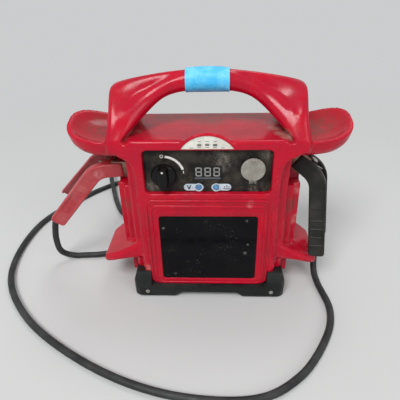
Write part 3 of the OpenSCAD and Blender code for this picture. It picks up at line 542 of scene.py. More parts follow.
def pill(x: float, z: float, w: float, h: float, steps: int = 14) -> list[Pair]:
    """Outline in X and Z of a bar with round ends."""
    return [(p.x, p.z) for p in rounded_ring(x, z, (w, h), min(w, h) / 2 - 0.001, 0, steps)]


def strip(name: str, outline: Sequence[Pair], y: float, thick: float = 0.12) -> bpy.types.Object:
    """Thin printed shape on a face across Y.

    Args:
        name: Name of the object.
        outline: Its outline in X and Z.
        y: The face that it lies on.
        thick: How far it stands out to the front.

    Returns:
        The shape.
    """
    return loft(name, [[Vector((x, depth, z)) for x, z in outline] for depth in (y - thick, y + 0.02)])


def recess(
    name: str, x: float, z: float, size: Pair, r: float, y0: float, y1: float, lip: float
) -> bpy.types.Object:
    """Cutter of a rounded pocket whose edge at the surface is rounded over.

    Args:
        name: Name of the cutter.
        x: Middle of the pocket along X.
        z: Middle of the pocket along Z.
        size: Its width and height.
        r: Radius of its corners.
        y0: The surface that it is cut into.
        y1: Its floor.
        lip: Radius of the rounded edge.

    Returns:
        The cutter.
    """
    w, h = size
    steps = 6
    rings = [rounded_ring(x, z, (w + 2 * lip, h + 2 * lip), r + lip, y0 - 6)]
    for i in range(steps + 1):
        a = math.pi / 2 * i / steps
        grow, deep = lip * (1 - math.sin(a)), lip * (1 - math.cos(a))
        rings.append(rounded_ring(x, z, (w + 2 * grow, h + 2 * grow), r + grow, y0 + deep))
    rings.append(rounded_ring(x, z, size, r, y1))
    return loft(name, rings)


# ---- Finishes ----


@dataclass(frozen=True)
class Signal:
    """A socket's output, which takes part in sums."""

    shader: "Shader"
    socket: bpy.types.NodeSocket

    def _sum(self, operation: str, first: "Signal | float", second: "Signal | float") -> "Signal":
        """Adds one Math node and returns its result."""
        return self.shader.signal("ShaderNodeMath", {"operation": operation}, {0: first, 1: second})

    def __add__(self, other: "Signal | float") -> "Signal":
        """Sum."""
        return self._sum("ADD", self, other)

    def __sub__(self, other: "Signal | float") -> "Signal":
        """Difference."""
        return self._sum("SUBTRACT", self, other)

    def __rsub__(self, other: float) -> "Signal":
        """Difference from a number."""
        return self._sum("SUBTRACT", other, self)

    def __mul__(self, other: "Signal | float") -> "Signal":
        """Product."""
        return self._sum("MULTIPLY", self, other)

    __radd__ = __add__
    __rmul__ = __mul__

    def highest(self, other: "Signal | float") -> "Signal":
        """The larger of two values."""
        return self._sum("MAXIMUM", self, other)

    def spread(self, low: float, high: float, to_low: float = 0, to_high: float = 1) -> "Signal":
        """Value stretched smoothly from one range to another, and held at its ends.

        Args:
            low: Start of the range that the value has.
            high: End of that range.
            to_low: Start of the range that it gets.
            to_high: End of that range.

        Returns:
            The new value.
        """
        values = {"Value": self, "From Min": low, "From Max": high, "To Min": to_low, "To Max": to_high}
        return self.shader.signal("ShaderNodeMapRange", {"interpolation_type": "SMOOTHSTEP"}, values)


class Shader:
    """The node tree of one material or of the world."""

    def __init__(self, name: str, kept_in: bpy.types.bpy_prop_collection | None = None) -> None:
        """Starts an empty material, or a world where its collection is given.

        Args:
            name: Name of the material or the world.
            kept_in: Collection that it is made in, the materials' if left out.
        """
        self.material = (bpy.data.materials if kept_in is None else kept_in).new(name)
        self.material.use_nodes = True
        self.tree = self.material.node_tree
        self.tree.nodes.clear()
        self.place = self.signal("ShaderNodeTexCoord", output=3)

    def node(self, kind: str, settings: dict | None = None, inputs: dict | None = None) -> bpy.types.Node:
        """Adds a node.

        Args:
            kind: The node's type.
            settings: Its properties, set first.
            inputs: Values or signals of its sockets, by name or number.

        Returns:
            The node.
        """
        made = self.tree.nodes.new(kind)
        for key, value in (settings or {}).items():
            setattr(made, key, value)
        for key, value in (inputs or {}).items():
            if isinstance(value, Signal):
                self.tree.links.new(value.socket, made.inputs[key])
            else:
                made.inputs[key].default_value = value
        return made

    def signal(
        self, kind: str, settings: dict | None = None, inputs: dict | None = None, output: int = 0
    ) -> Signal:
        """Adds a node and returns one of its outputs."""
        return Signal(self, self.node(kind, settings, inputs).outputs[output])

    def cloud(
        self,
        size: float,
        detail: float = 3,
        stretch: Sequence[float] = (1, 1, 1),
        seed: float = 0,
        turn: Sequence[float] = (0, 0, 0),
    ) -> Signal:
        """Cloudy noise over a piece.

        Args:
            size: Size of its blotches.
            detail: Octaves of finer noise in it.
            stretch: How far the blotches are drawn out along each axis.
            seed: Shift to another stretch of the noise.
            turn: Turns of those axes, in radians.

        Returns:
            A value between 0 and 1, mostly near the middle.
        """
        values = {
            "Vector": self.place,
            "Location": [seed, seed * 0.7, seed * 0.3],
            "Rotation": list(turn),
            "Scale": list(stretch),
        }
        spot = self.signal("ShaderNodeMapping", {"vector_type": "TEXTURE"}, values)
        values = {"Vector": spot, "Scale": 1 / (size * MM), "Detail": detail, "Roughness": 0.6}
        return self.signal("ShaderNodeTexNoise", None, values)

    def seen(self) -> Signal:
        """One for the rays of the camera, of reflections and of clear pieces."""
        camera, glossy, through = (self.signal("ShaderNodeLightPath", output=n) for n in (0, 3, 6))
        return camera.highest(glossy).highest(through)

    def mixed(self, share: Signal | float, first: Signal | Colour, second: Signal | Colour) -> Signal:
        """Colour mixed from two by a share."""
        ends = [c if isinstance(c, Signal) else (*c, 1) for c in (first, second)]
        return self.signal("ShaderNodeMix", {"data_type": "RGBA"}, {0: share, 6: ends[0], 7: ends[1]}, 2)

    def near(self, x: float, y: float, z: float, reach: float) -> Signal:
        """One at a place, falling to nothing at a distance from it.

        Args:
            x: X of the place.
            y: Y of the place.
            z: Z of the place.
            reach: The distance.

        Returns:
            The share, from 0 to 1.
        """
        ends = {0: self.place, 1: (x * MM, y * MM, z * MM)}
        far = self.signal("ShaderNodeVectorMath", {"operation": "DISTANCE"}, ends, 1)
        return far.spread(reach * MM, reach * 0.25 * MM)


class Grain(Enum):
    """Fine relief of a surface."""

    MOULDED = "spark-eroded texture of a mould"
    RUBBER = "soft uneven skin"
    BRUSHED = "lines of a brush along one way"
    CAST = "pitted metal"
    CREASED = "creases of stuck tape"
    FILM = "flat printed film"


@dataclass(frozen=True)
class Finish:
    """A surface: its colours, gloss, relief, dust and wear, with painted shade in some corners and patches.

    A worn place is its x, y and z and its reach, and a patch of dirt, or of painted shade, has its colour
    as well.
    """

    name: str
    colour: Colour
    faded: Colour
    roughness: float
    grain: Grain = Grain.MOULDED
    grain_size: float = 0.8
    grain_depth: float = 0.02
    metallic: float = 0
    coat: float = 0
    patch: float = 45
    dust: float = 0.25
    dust_colour: Colour = (0.30, 0.24, 0.18)
    # Share of ambient occlusion in the corners: dust, and painted shade where the dust colour is darker
    # than the piece.
    crevice_dust_and_shade: float = 0
    scuffs: float = 0.2
    scuff_colour: Colour = (0.62, 0.45, 0.42)
    worn: tuple[tuple[float, float, float, float], ...] = ()
    # Patches of dirt, and of painted shade, each at a place with a reach and a colour.
    stains_and_shade: tuple[tuple[float, float, float, float, Colour], ...] = ()
    speckle: float = 0
    shine: float = 0.5

    def relief(self, s: Shader) -> Signal:
        """Height of the fine relief.

        Args:
            s: Shader of the material.

        Returns:
            The height, about 0 to 1.
        """
        fine = s.cloud(self.grain_size, 2)
        if self.grain is Grain.BRUSHED:
            return s.cloud(self.grain_size, 2, (30, 1, 1))
        if self.grain is Grain.CAST:
            return fine * 0.6 + s.cloud(self.grain_size * 5, 3) * 0.8
        if self.grain is Grain.CREASED:
            folds = s.cloud(7, 2, (1, 2.5, 2.5), 3.1)
            pleats = s.cloud(1.7, 2, (1, 16, 16), 8.3).spread(0.35, 0.65)
            return (folds - 0.5).highest(0.5 - folds).spread(0, 0.12) + pleats * 0.7 + fine * 0.1
        if self.grain is Grain.RUBBER:
            return fine * 0.5 + s.cloud(self.grain_size * 9, 2) * 0.6
        return fine

    def dusted_and_shaded(self, s: Shader) -> Signal:
        """Share of dust on what faces up and in drifts, and of dust and painted shade in the corners.

        Args:
            s: Shader of the material.

        Returns:
            The share, from 0 to 1.
        """
        normal = s.signal("ShaderNodeNewGeometry", output=1)
        up = s.signal("ShaderNodeSeparateXYZ", None, {0: normal}, 2).spread(0.1, 1.0)
        drift = s.cloud(26, 6, seed=1.7).spread(0.35, 0.72)
        specks = s.cloud(1.6, 3, seed=4.2).spread(0.5, 0.75)
        dust = drift * (up * 0.75 + 0.25) * (specks * 0.6 + 0.4) * self.dust
        # Ambient occlusion pulls corners and recesses towards the dust colour: dust where that colour is
        # lighter than the piece, painted shade where it is darker, as on the red case and the white window.
        if self.crevice_dust_and_shade:
            local = {"samples": 6, "only_local": True}
            sky = s.signal("ShaderNodeAmbientOcclusion", local, {"Distance": 9 * MM}, 1)
            ragged = s.cloud(5, 5, seed=2.6).spread(0.25, 0.7, 0.5, 1.4)
            dust = dust.highest(sky.spread(0.85, 0.35) * ragged * self.crevice_dust_and_shade)
        return dust

    def scuffed(self, s: Shader) -> Signal:
        """Share of fine scratches, and of whitish smudges where things have rubbed.

        Args:
            s: Shader of the material.

        Returns:
            The share, from 0 to 1.
        """
        down = s.cloud(1.0, 3, (1.3, 1.3, 13), 5.5, (0.3, -0.4, 0))
        across = s.cloud(0.9, 3, (15, 1.3, 1.3), 0.6, (0, 0.5, 0.3))
        lines = down.highest(across)
        where = s.cloud(30, 2, seed=7.3).spread(0.48, 0.68)
        scuffs = lines.spread(0.63, 0.74) * where * self.scuffs
        for x, y, z, reach in self.worn:
            smudge = s.cloud(11, 5, (1, 1, 1.6), x * 0.01).spread(0.38, 0.72) * 0.5
            smudge = smudge + lines.spread(0.58, 0.68) * 0.45
            scuffs = scuffs.highest(s.near(x, y, z, reach) * smudge)
        return scuffs

    def build(self) -> bpy.types.Material:
        """Builds the material.

        Returns:
            The material, ready for any piece.
        """
        s = Shader(self.name)
        patches = s.cloud(self.patch, 4, seed=0.9).spread(0.36, 0.7)
        colour = s.mixed(patches, self.colour, self.faded)
        if self.speckle:
            specks = s.cloud(0.9, 2, seed=8.8).spread(0.52, 0.66) * self.speckle
            colour = s.mixed(specks, colour, self.scuff_colour)
        scuffs = self.scuffed(s)
        # Dust, with painted shade in the corners of pieces whose dust colour is darker.
        dust = self.dusted_and_shaded(s)
        colour = s.mixed(scuffs, colour, self.scuff_colour)
        colour = s.mixed(dust, colour, self.dust_colour)
        # Patches of dirt, and of painted shade, each fading out round its place.
        for x, y, z, reach, stain_and_shade_colour in self.stains_and_shade:
            colour = s.mixed(s.near(x, y, z, reach) * s.cloud(7, 5).spread(0.2, 0.65), colour, stain_and_shade_colour)
        sheen = s.cloud(18, 4, seed=6.1).spread(0.3, 0.75, -0.05, 0.08)
        rough = (sheen + dust * 0.5 + scuffs * 0.25 + self.roughness).spread(0.02, 1, 0.02, 1)
        height = self.relief(s) - scuffs * 0.5
        values = {"Strength": 0.6, "Distance": self.grain_depth * MM, "Height": height}
        bump = s.signal("ShaderNodeBump", None, values)
        values = {
            "Base Color": colour,
            "Roughness": rough,
            "Metallic": self.metallic,
            "Normal": bump,
            "Coat Weight": self.coat,
            "Coat Roughness": 0.12,
            "Specular IOR Level": self.shine,
        }
        surface = s.signal("ShaderNodeBsdfPrincipled", None, values)
        s.node("ShaderNodeOutputMaterial", None, {"Surface": surface})
        return s.material


RED_WORN = (
    (92, 12, 268, 20), (-101, -22, 268, 13), (126, -20, 236, 13), (134, -18, 176, 15), (134, -18, 120, 13),
    (112, -56, 60, 12), (-100, -58, 50, 12), (60, -66, 172, 9), (-98, -26, 338, 17), (150, -30, 50, 14),
)
GRIT = (0.46, 0.22, 0.18)
# A darker copy of the case red: grime and painted shade in the horn dishes and on the rear of the deck, and
# painted shade on the columns under the clamps.
GRIME_AND_SHADE = (0.24, 0.038, 0.036)
# Patches on the case: grit by the right leg, and the darker red ones of grime and painted shade.
RED_STAINS_AND_SHADE = (
    (107, -46, 269, 12, GRIT), (101, -32, 269, 14, GRIT), (95, -12, 269, 14, GRIT),
    (-160, 16, 262, 46, GRIME_AND_SHADE), (160, 18, 262, 46, GRIME_AND_SHADE), (0, 34, 268, 50, GRIME_AND_SHADE),
    (-60, 42, 268, 40, GRIME_AND_SHADE), (60, 42, 268, 40, GRIME_AND_SHADE), (122, -24, 150, 22, GRIME_AND_SHADE),
    (-122, -24, 150, 18, GRIME_AND_SHADE),
)
LABEL_WORN = (
    (-54, -63, 43, 4), (57, -63, 143, 3), (56, -63, 84, 4), (60, -63, 100, 3), (-67, -63, 130, 3),
)
PANEL_WORN = ((-86, -53, 190, 26), (70, -53, 190, 18), (20, -53, 236, 24), (86, -53, 246, 18))

FINISHES = {
    # Its darker red dust colour paints shade into the corners, and some of its darker red patches are
    # painted shade.
    "case_red": Finish(
        "case red", (0.52, 0.001, 0.020), (0.43, 0.002, 0.022), 0.26, grain_size=1.1, grain_depth=0.010,
        shine=0.27, dust=0.4, dust_colour=(0.18, 0.045, 0.038), crevice_dust_and_shade=0.5, scuffs=0.3,
        scuff_colour=(0.72, 0.38, 0.36), worn=RED_WORN, stains_and_shade=RED_STAINS_AND_SHADE,
    ),
    "boot": Finish(
        "boot black", (0.007, 0.009, 0.009), (0.016, 0.018, 0.017), 0.45, grain_depth=0.03, dust=0.35,
        dust_colour=(0.13, 0.13, 0.115), crevice_dust_and_shade=0.3, scuffs=0.5, scuff_colour=(0.14, 0.15, 0.14),
        shine=0.22,
    ),
    "foot_rubber": Finish("foot rubber", (0.02, 0.02, 0.02), (0.03, 0.03, 0.03), 0.8, Grain.RUBBER),
    "panel": Finish(
        "panel black", (0.009, 0.009, 0.009), (0.040, 0.034, 0.027), 0.5, patch=15, dust=0.55,
        dust_colour=(0.20, 0.16, 0.12), crevice_dust_and_shade=0.6, scuffs=0.35, scuff_colour=(0.30, 0.27, 0.23),
        worn=PANEL_WORN, shine=0.14,
    ),
    "knob": Finish(
        "knob black", (0.002, 0.002, 0.003), (0.004, 0.004, 0.004), 0.12, shine=0.22, dust=0.05,
        scuffs=0.1, scuff_colour=(0.2, 0.19, 0.17), grain_depth=0.008,
    ),
    "switch_body": Finish("switch grey", (0.22, 0.22, 0.21), (0.17, 0.17, 0.16), 0.5),
    "display": Finish(
        "display window", (0.012, 0.013, 0.014), (0.018, 0.018, 0.018), 0.16, Grain.FILM, shine=0.14,
        dust=0.3, scuffs=0.2, grain_depth=0.004,
    ),
    "button_ring": Finish(
        "ring white", (0.60, 0.68, 0.74), (0.46, 0.56, 0.64), 0.35, dust=0.3, scuffs=0.1, patch=8,
        grain_depth=0.005,
    ),
    "button_blue": Finish(
        "button blue", (0.05, 0.17, 0.36), (0.10, 0.30, 0.52), 0.2, coat=0.5, dust=0.15, scuffs=0.05,
        patch=6, grain_depth=0.004,
    ),
    "cap": Finish(
        "cap grey", (0.20, 0.185, 0.155), (0.30, 0.285, 0.245), 0.75, Grain.CAST, grain_size=0.9,
        grain_depth=0.12, patch=12, dust=0.5, dust_colour=(0.36, 0.33, 0.28), scuffs=0.1,
        # Painted shade under the cap, darkening its hinge tab.
        scuff_colour=(0.52, 0.50, 0.45), speckle=0.8, stains_and_shade=((63, -57, 201, 9, (0.020, 0.018, 0.016)),),
    ),
    "window_white": Finish(
        "window white", (0.78, 0.77, 0.71), (0.62, 0.60, 0.53), 0.3, Grain.FILM, coat=0.3, dust=0.3,
        crevice_dust_and_shade=0.3, scuffs=0.1, grain_depth=0.004, patch=14,
    ),
    "board": Finish("board green", (0.03, 0.16, 0.07), (0.02, 0.10, 0.05), 0.4, Grain.FILM),
    "label": Finish(
        "label film", (0.003, 0.003, 0.004), (0.005, 0.005, 0.006), 0.24, Grain.FILM, shine=0.1,
        patch=60, dust=0.1, dust_colour=(0.12, 0.10, 0.09), crevice_dust_and_shade=0.3, scuffs=0.35,
        scuff_colour=(0.42, 0.40, 0.38), grain_depth=0.004, worn=LABEL_WORN,
    ),
    "battery": Finish("battery grey", (0.08, 0.08, 0.085), (0.06, 0.06, 0.065), 0.5),
    "steel": Finish(
        "plated steel", (0.55, 0.54, 0.52), (0.38, 0.36, 0.33), 0.35, Grain.CAST, metallic=1, dust=0.4,
        patch=6, scuffs=0.2, scuff_colour=(0.25, 0.16, 0.10), grain_depth=0.03,
    ),
    "brass": Finish(
        "brass", (0.62, 0.47, 0.20), (0.45, 0.33, 0.14), 0.3, Grain.BRUSHED, metallic=1, dust=0.1,
    ),
    "inner_red": Finish("wire red", (0.42, 0.03, 0.04), (0.34, 0.03, 0.04), 0.5, Grain.RUBBER),
    "clamp_red": Finish(
        "clamp red", (0.42, 0.025, 0.035), (0.48, 0.07, 0.08), 0.42, grain_depth=0.03, dust=0.35,
        dust_colour=(0.38, 0.25, 0.22), crevice_dust_and_shade=0.5, scuffs=0.6, scuff_colour=(0.66, 0.36, 0.35),
        worn=((-230, -34, 84, 14), (-168, -18, 196, 14)),
        stains_and_shade=((-196, -30, 128, 11, (0.14, 0.035, 0.030)), (-208, -30, 112, 10, (0.14, 0.035, 0.030))),
    ),
    "clamp_black": Finish(
        "clamp black", (0.010, 0.011, 0.010), (0.026, 0.026, 0.025), 0.48, shine=0.24, grain_depth=0.03,
        dust=0.5, dust_colour=(0.17, 0.16, 0.14), crevice_dust_and_shade=0.35, scuffs=0.55,
        scuff_colour=(0.20, 0.20, 0.19),
    ),
    "jaw": Finish(
        "worn copper", (0.36, 0.24, 0.17), (0.24, 0.19, 0.15), 0.45, Grain.CAST, metallic=0.8, patch=9,
        dust=0.7, dust_colour=(0.30, 0.25, 0.20), scuffs=0.4, scuff_colour=(0.60, 0.54, 0.46),
        grain_depth=0.12,
    ),
    "lead": Finish(
        "lead rubber", (0.012, 0.013, 0.014), (0.030, 0.031, 0.031), 0.5, Grain.RUBBER, grain_size=1.4,
        grain_depth=0.06, patch=30, dust=0.45, dust_colour=(0.13, 0.13, 0.12), scuffs=0.3,
        scuff_colour=(0.15, 0.15, 0.145), shine=0.35,
    ),
    "tape": Finish(
        "tape blue", (0.05, 0.50, 0.90), (0.15, 0.64, 0.95), 0.45, Grain.CREASED, grain_size=0.6,
        grain_depth=0.4, patch=16, dust=0.2, dust_colour=(0.5, 0.6, 0.65), scuffs=0.2,
        scuff_colour=(0.62, 0.80, 0.90),
    ),
}
PRINT_WHITE = Finish(
    "print white", (0.74, 0.73, 0.69), (0.60, 0.58, 0.54), 0.5, Grain.FILM, dust=0.25, scuffs=0.3,
    patch=6, scuff_colour=(0.12, 0.10, 0.09), grain_depth=0.004,
)
DIGIT_GREY = Finish(
    "digit grey", (0.34, 0.34, 0.31), (0.26, 0.26, 0.24), 0.4, Grain.FILM, dust=0.2, scuffs=0,
    grain_depth=0.002,
)
STRIP_GREY = Finish(
    "strip grey", (0.075, 0.085, 0.095), (0.055, 0.06, 0.07), 0.3, Grain.FILM, dust=0.3, scuffs=0,
    grain_depth=0.002,
)
MARK_GREY = Finish(
    "mark grey", (0.10, 0.10, 0.10), (0.20, 0.195, 0.18), 0.4, Grain.FILM, dust=0.2, scuffs=0,
    grain_depth=0.002,
)
PRINT_BLACK = Finish(
    "print black", (0.012, 0.012, 0.013), (0.02, 0.02, 0.02), 0.5, Grain.FILM, dust=0.2, scuffs=0,
    grain_depth=0.002,
)


class Dresser:
    """Hands out materials and fastens pieces to the frame."""

    def __init__(self) -> None:
        """Starts with no material made."""
        self.made: dict[str, bpy.types.Material] = {}

    def material(self, finish: Finish) -> bpy.types.Material:
        """The one material of a finish.

        Args:
            finish: The finish.

        Returns:
            Its material, made when it is first asked for.
        """
        if finish.name not in self.made:
            self.made[finish.name] = finish.build()
        return self.made[finish.name]

    def dress(self, obj: bpy.types.Object, slot: str, finish: Finish | None = None) -> bpy.types.Object:
        """Gives an object the finish of a record slot, or another finish of that slot.

        Args:
            obj: The object.
            slot: The record's slot.
            finish: A finish other than the slot's own.

        Returns:
            The object.
        """
        obj.data.materials.clear()
        obj.data.materials.append(self.material(finish or FINISHES[slot]))
        return obj

    def fasten(
        self,
        obj: bpy.types.Object,
        slot: str,
        body: str = "pack",
        stands_for: Sequence[str] = (),
        finish: Finish | None = None,
    ) -> bpy.types.Object:
        """Dresses a piece and puts it on its body.

        Args:
            obj: The finished piece.
            slot: The record's slot it is painted from.
            body: The body that it rides on.
            stands_for: Frame nodes that it replaces.
            finish: A finish other than the slot's own.

        Returns:
            The piece.
        """
        self.dress(obj, slot, finish)
        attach(obj, body)
        if stands_for:
            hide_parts(*stands_for)
        triangles = sum(len(p.vertices) - 2 for p in obj.data.polygons)
        LOG.info("%s: %d triangles on %s", obj.name, triangles, body)
        return obj

    def refine(
        self,
        node: str,
        name: str,
        slot: str,
        width: float,
        segments: int = 2,
        angle: float = 30,
        body: str = "pack",
    ) -> bpy.types.Object:
        """Fastens a copy of a frame node with its edges rounded, in place of the node.

        Args:
            node: Name of the node.
            name: Name of the piece.
            slot: The record's slot it is painted from.
            width: Width of the rounding.
            segments: Segments of the rounding.
            angle: Least angle between faces, in degrees, at which an edge is rounded.
            body: The body that it rides on.

        Returns:
            The piece.
        """
        return self.fasten(refined(node, name, width, segments, angle), slot, body, [node])


# ---- Camera and light ----


@dataclass(frozen=True)
class Lamp:
    """Square soft lamp, its place and size in metres."""

    name: str
    place: tuple[float, float, float]
    size: float
    power: float


@dataclass
class Studio:
    """Plain floor, soft light and the camera, whose eye is in millimetres."""

    eye: tuple[float, float, float] = (13.939, -556.08, 467.02)
    pitch: float = 30.297
    yaw: float = -2.9153
    roll: float = -1.4168
    lens: float = 36
    sensor: float = 36
    floor_half: float = 20
    floor_drop: float = 0.0002
    floor_colour: Colour = (0.62, 0.625, 0.62)
    floor_shade: float = 0.985
    backdrop: Colour = (0.60, 0.605, 0.61)
    clear_from: float = 450
    clear_to: float = 1500
    sky: Colour = (0.97, 0.985, 1.0)
    sky_strength: float = 0.42
    lamps: tuple[Lamp, ...] = (
        Lamp("key", (-1.2, -2.9, 3.9), 1.9, 160),
        Lamp("fill", (2.8, -3.2, 2.6), 2.2, 40),
        Lamp("rim", (0.7, 2.2, 4.9), 1.8, 44),
    )
    aim: tuple[float, float, float] = (0, 0, 0.18)

    def build(self) -> None:
        """Makes the floor, the world, the lamps and the camera."""
        self.stand_camera()
        self.lay_floor()
        self.light()

    def stand_camera(self) -> None:
        """Stands the camera at its place and turns it."""
        pitch, yaw, roll = (math.radians(a) for a in (self.pitch, self.yaw, self.roll))
        flat = math.cos(pitch)
        ahead = Vector((math.sin(yaw) * flat, math.cos(yaw) * flat, -math.sin(pitch)))
        level = Vector((math.cos(yaw), -math.sin(yaw), 0))
        rise = level.cross(ahead)
        right = math.cos(roll) * level + math.sin(roll) * rise
        up = -math.sin(roll) * level + math.cos(roll) * rise
        data = bpy.data.cameras.new("camera")
        data.lens = self.lens
        data.sensor_width = self.sensor
        data.clip_start = 0.01
        camera = bpy.data.objects.new("camera", data)
        turn = Matrix((right, up, -ahead)).transposed().to_4x4()
        camera.matrix_world = Matrix.Translation(Vector(self.eye) * MM) @ turn
        bpy.context.scene.collection.objects.link(camera)
        bpy.context.scene.camera = camera

    def lay_floor(self) -> None:
        """Lays a wide pale floor, just under the feet."""
        bpy.ops.object.select_all(action="DESELECT")
        bpy.ops.mesh.primitive_plane_add(size=2 * self.floor_half, location=(0, 0, -self.floor_drop))
        floor = bpy.context.object
        floor.name = "floor"
        s = Shader("floor")
        darker = [c * self.floor_shade for c in self.floor_colour]
        colour = s.mixed(s.cloud(900, 2).spread(0.3, 0.7), self.floor_colour, darker)
        surface = s.signal("ShaderNodeBsdfDiffuse", None, {"Color": colour})
        plain = s.signal("ShaderNodeEmission", None, {"Color": (*self.backdrop, 1), "Strength": 1})
        far = s.signal("ShaderNodeVectorMath", {"operation": "LENGTH"}, {0: s.place}, 1)
        share = far.spread(self.clear_from * MM, self.clear_to * MM) * s.seen()
        surface = s.signal("ShaderNodeMixShader", None, {0: share, 1: surface, 2: plain})
        s.node("ShaderNodeOutputMaterial", None, {"Surface": surface})
        floor.data.materials.append(s.material)

    def light(self) -> None:
        """Sets a soft sky and three soft lamps."""
        scene = bpy.context.scene
        scene.view_settings.view_transform = "Standard"
        s = Shader("sky", bpy.data.worlds)
        values = {"Color": (*self.sky, 1), "Strength": self.sky_strength}
        sky = s.signal("ShaderNodeBackground", None, values)
        plain = s.signal("ShaderNodeBackground", None, {"Color": (*self.backdrop, 1), "Strength": 1})
        surface = s.signal("ShaderNodeMixShader", None, {0: s.seen(), 1: sky, 2: plain})
        s.node("ShaderNodeOutputWorld", None, {"Surface": surface})
        scene.world = s.material
        for lamp in self.lamps:
            data = bpy.data.lights.new(lamp.name, "AREA")
            data.size = lamp.size
            data.energy = lamp.power
            obj = bpy.data.objects.new(lamp.name, data)
            obj.location = lamp.place
            way = Vector(self.aim) - Vector(lamp.place)
            obj.rotation_euler = way.to_track_quat("-Z", "Y").to_euler()
            scene.collection.objects.link(obj)


# ---- Clamps ----


@dataclass
class ClampShape:
    """Sizes of a spring clamp, along its arm from the tip of the jaws."""

    nose: float = 32
    bend_r: float = 36
    bend_angle: float = 50
    grip: float = 112
    width: float = 25
    wall: float = 2.6
    pivot: float = 30
    half_at_tip: float = 14.33
    nose_rise: float = 4.67
    half_at_bend: float = 19
    half_at_end: float = 37
    lead_back: float = 24
    sleeve_r: float = 6.95
    sleeve_gap: float = 0.3

    @property
    def grip_start(self) -> float:
        """Distance along the arm at which the bend ends."""
        return self.nose + self.bend_r * math.radians(self.bend_angle)

    @property
    def length(self) -> float:
        """Whole length of the arm."""
        return self.grip_start + self.grip

    def frame_at(self, along_arm: float) -> tuple[float, float, float]:
        """Course of the arm, which bends down and runs on straight.

        Args:
            along_arm: Distance along the arm.

        Returns:
            Its x and z there, and its downward turn in degrees.
        """
        if along_arm < self.nose:
            return along_arm, 0, 0
        turn = min((along_arm - self.nose) / self.bend_r, math.radians(self.bend_angle))
        x = self.nose + self.bend_r * math.sin(turn)
        z = -self.bend_r * (1 - math.cos(turn))
        rest = max(along_arm - self.grip_start, 0)
        return x + rest * math.cos(turn), z - rest * math.sin(turn), math.degrees(turn)

    def outer(self, along_arm: float) -> float:
        """Spread of the arm, steeper along its nose.

        Args:
            along_arm: Distance along the arm.

        Returns:
            Distance of the outer face from the middle plane.
        """
        if along_arm < self.nose:
            return self.half_at_tip + self.nose_rise * (max(along_arm, 0) / self.nose) ** 0.7
        rise = self.half_at_end - self.half_at_bend
        return self.half_at_bend + rise * (along_arm - self.nose) / (self.length - self.nose)

    def point(self, along_arm: float, y: float, across: float) -> Vector:
        """Point of the arm.

        Args:
            along_arm: Distance along the arm.
            y: Distance from the middle plane.
            across: Height across the arm.

        Returns:
            The point.
        """
        x, z, turn = self.frame_at(along_arm)
        a = math.radians(turn)
        return Vector((x + across * math.sin(a), y, z + across * math.cos(a)))

    def lead_point(self, beyond: float) -> Vector:
        """Point of the lead at a distance beyond the end of the arm.

        Args:
            beyond: The distance.

        Returns:
            The point.
        """
        x, z, _ = self.frame_at(self.length + beyond)
        face = self.outer(self.length - self.lead_back)
        return Vector((x, face - self.wall - self.sleeve_gap - self.sleeve_r, z))


ARM = ClampShape()


@dataclass(frozen=True)
class Stand:
    """Place and turns of a clamp on its horn."""

    tip: tuple[float, float, float]
    turns: tuple[tuple[str, float], ...]

    def matrix(self) -> Matrix:
        """Matrix from the clamp's own frame to the pack's, in millimetres.

        Returns:
            The matrix.
        """
        out = Matrix.Translation(Vector(self.tip))
        for axis, angle in self.turns:
            out = out @ Matrix.Rotation(math.radians(angle), 4, axis)
        return out

    def world(self, point: Vector) -> Vector:
        """Point of the pack's frame from one of the clamp's."""
        return self.matrix() @ point


AT_RED = Stand((-122, 0, 206), (("X", 15), ("Z", 180)))
AT_BLACK = Stand((127, 2, 221), (("Z", -15), ("Y", 34)))


# ---- Leads ----


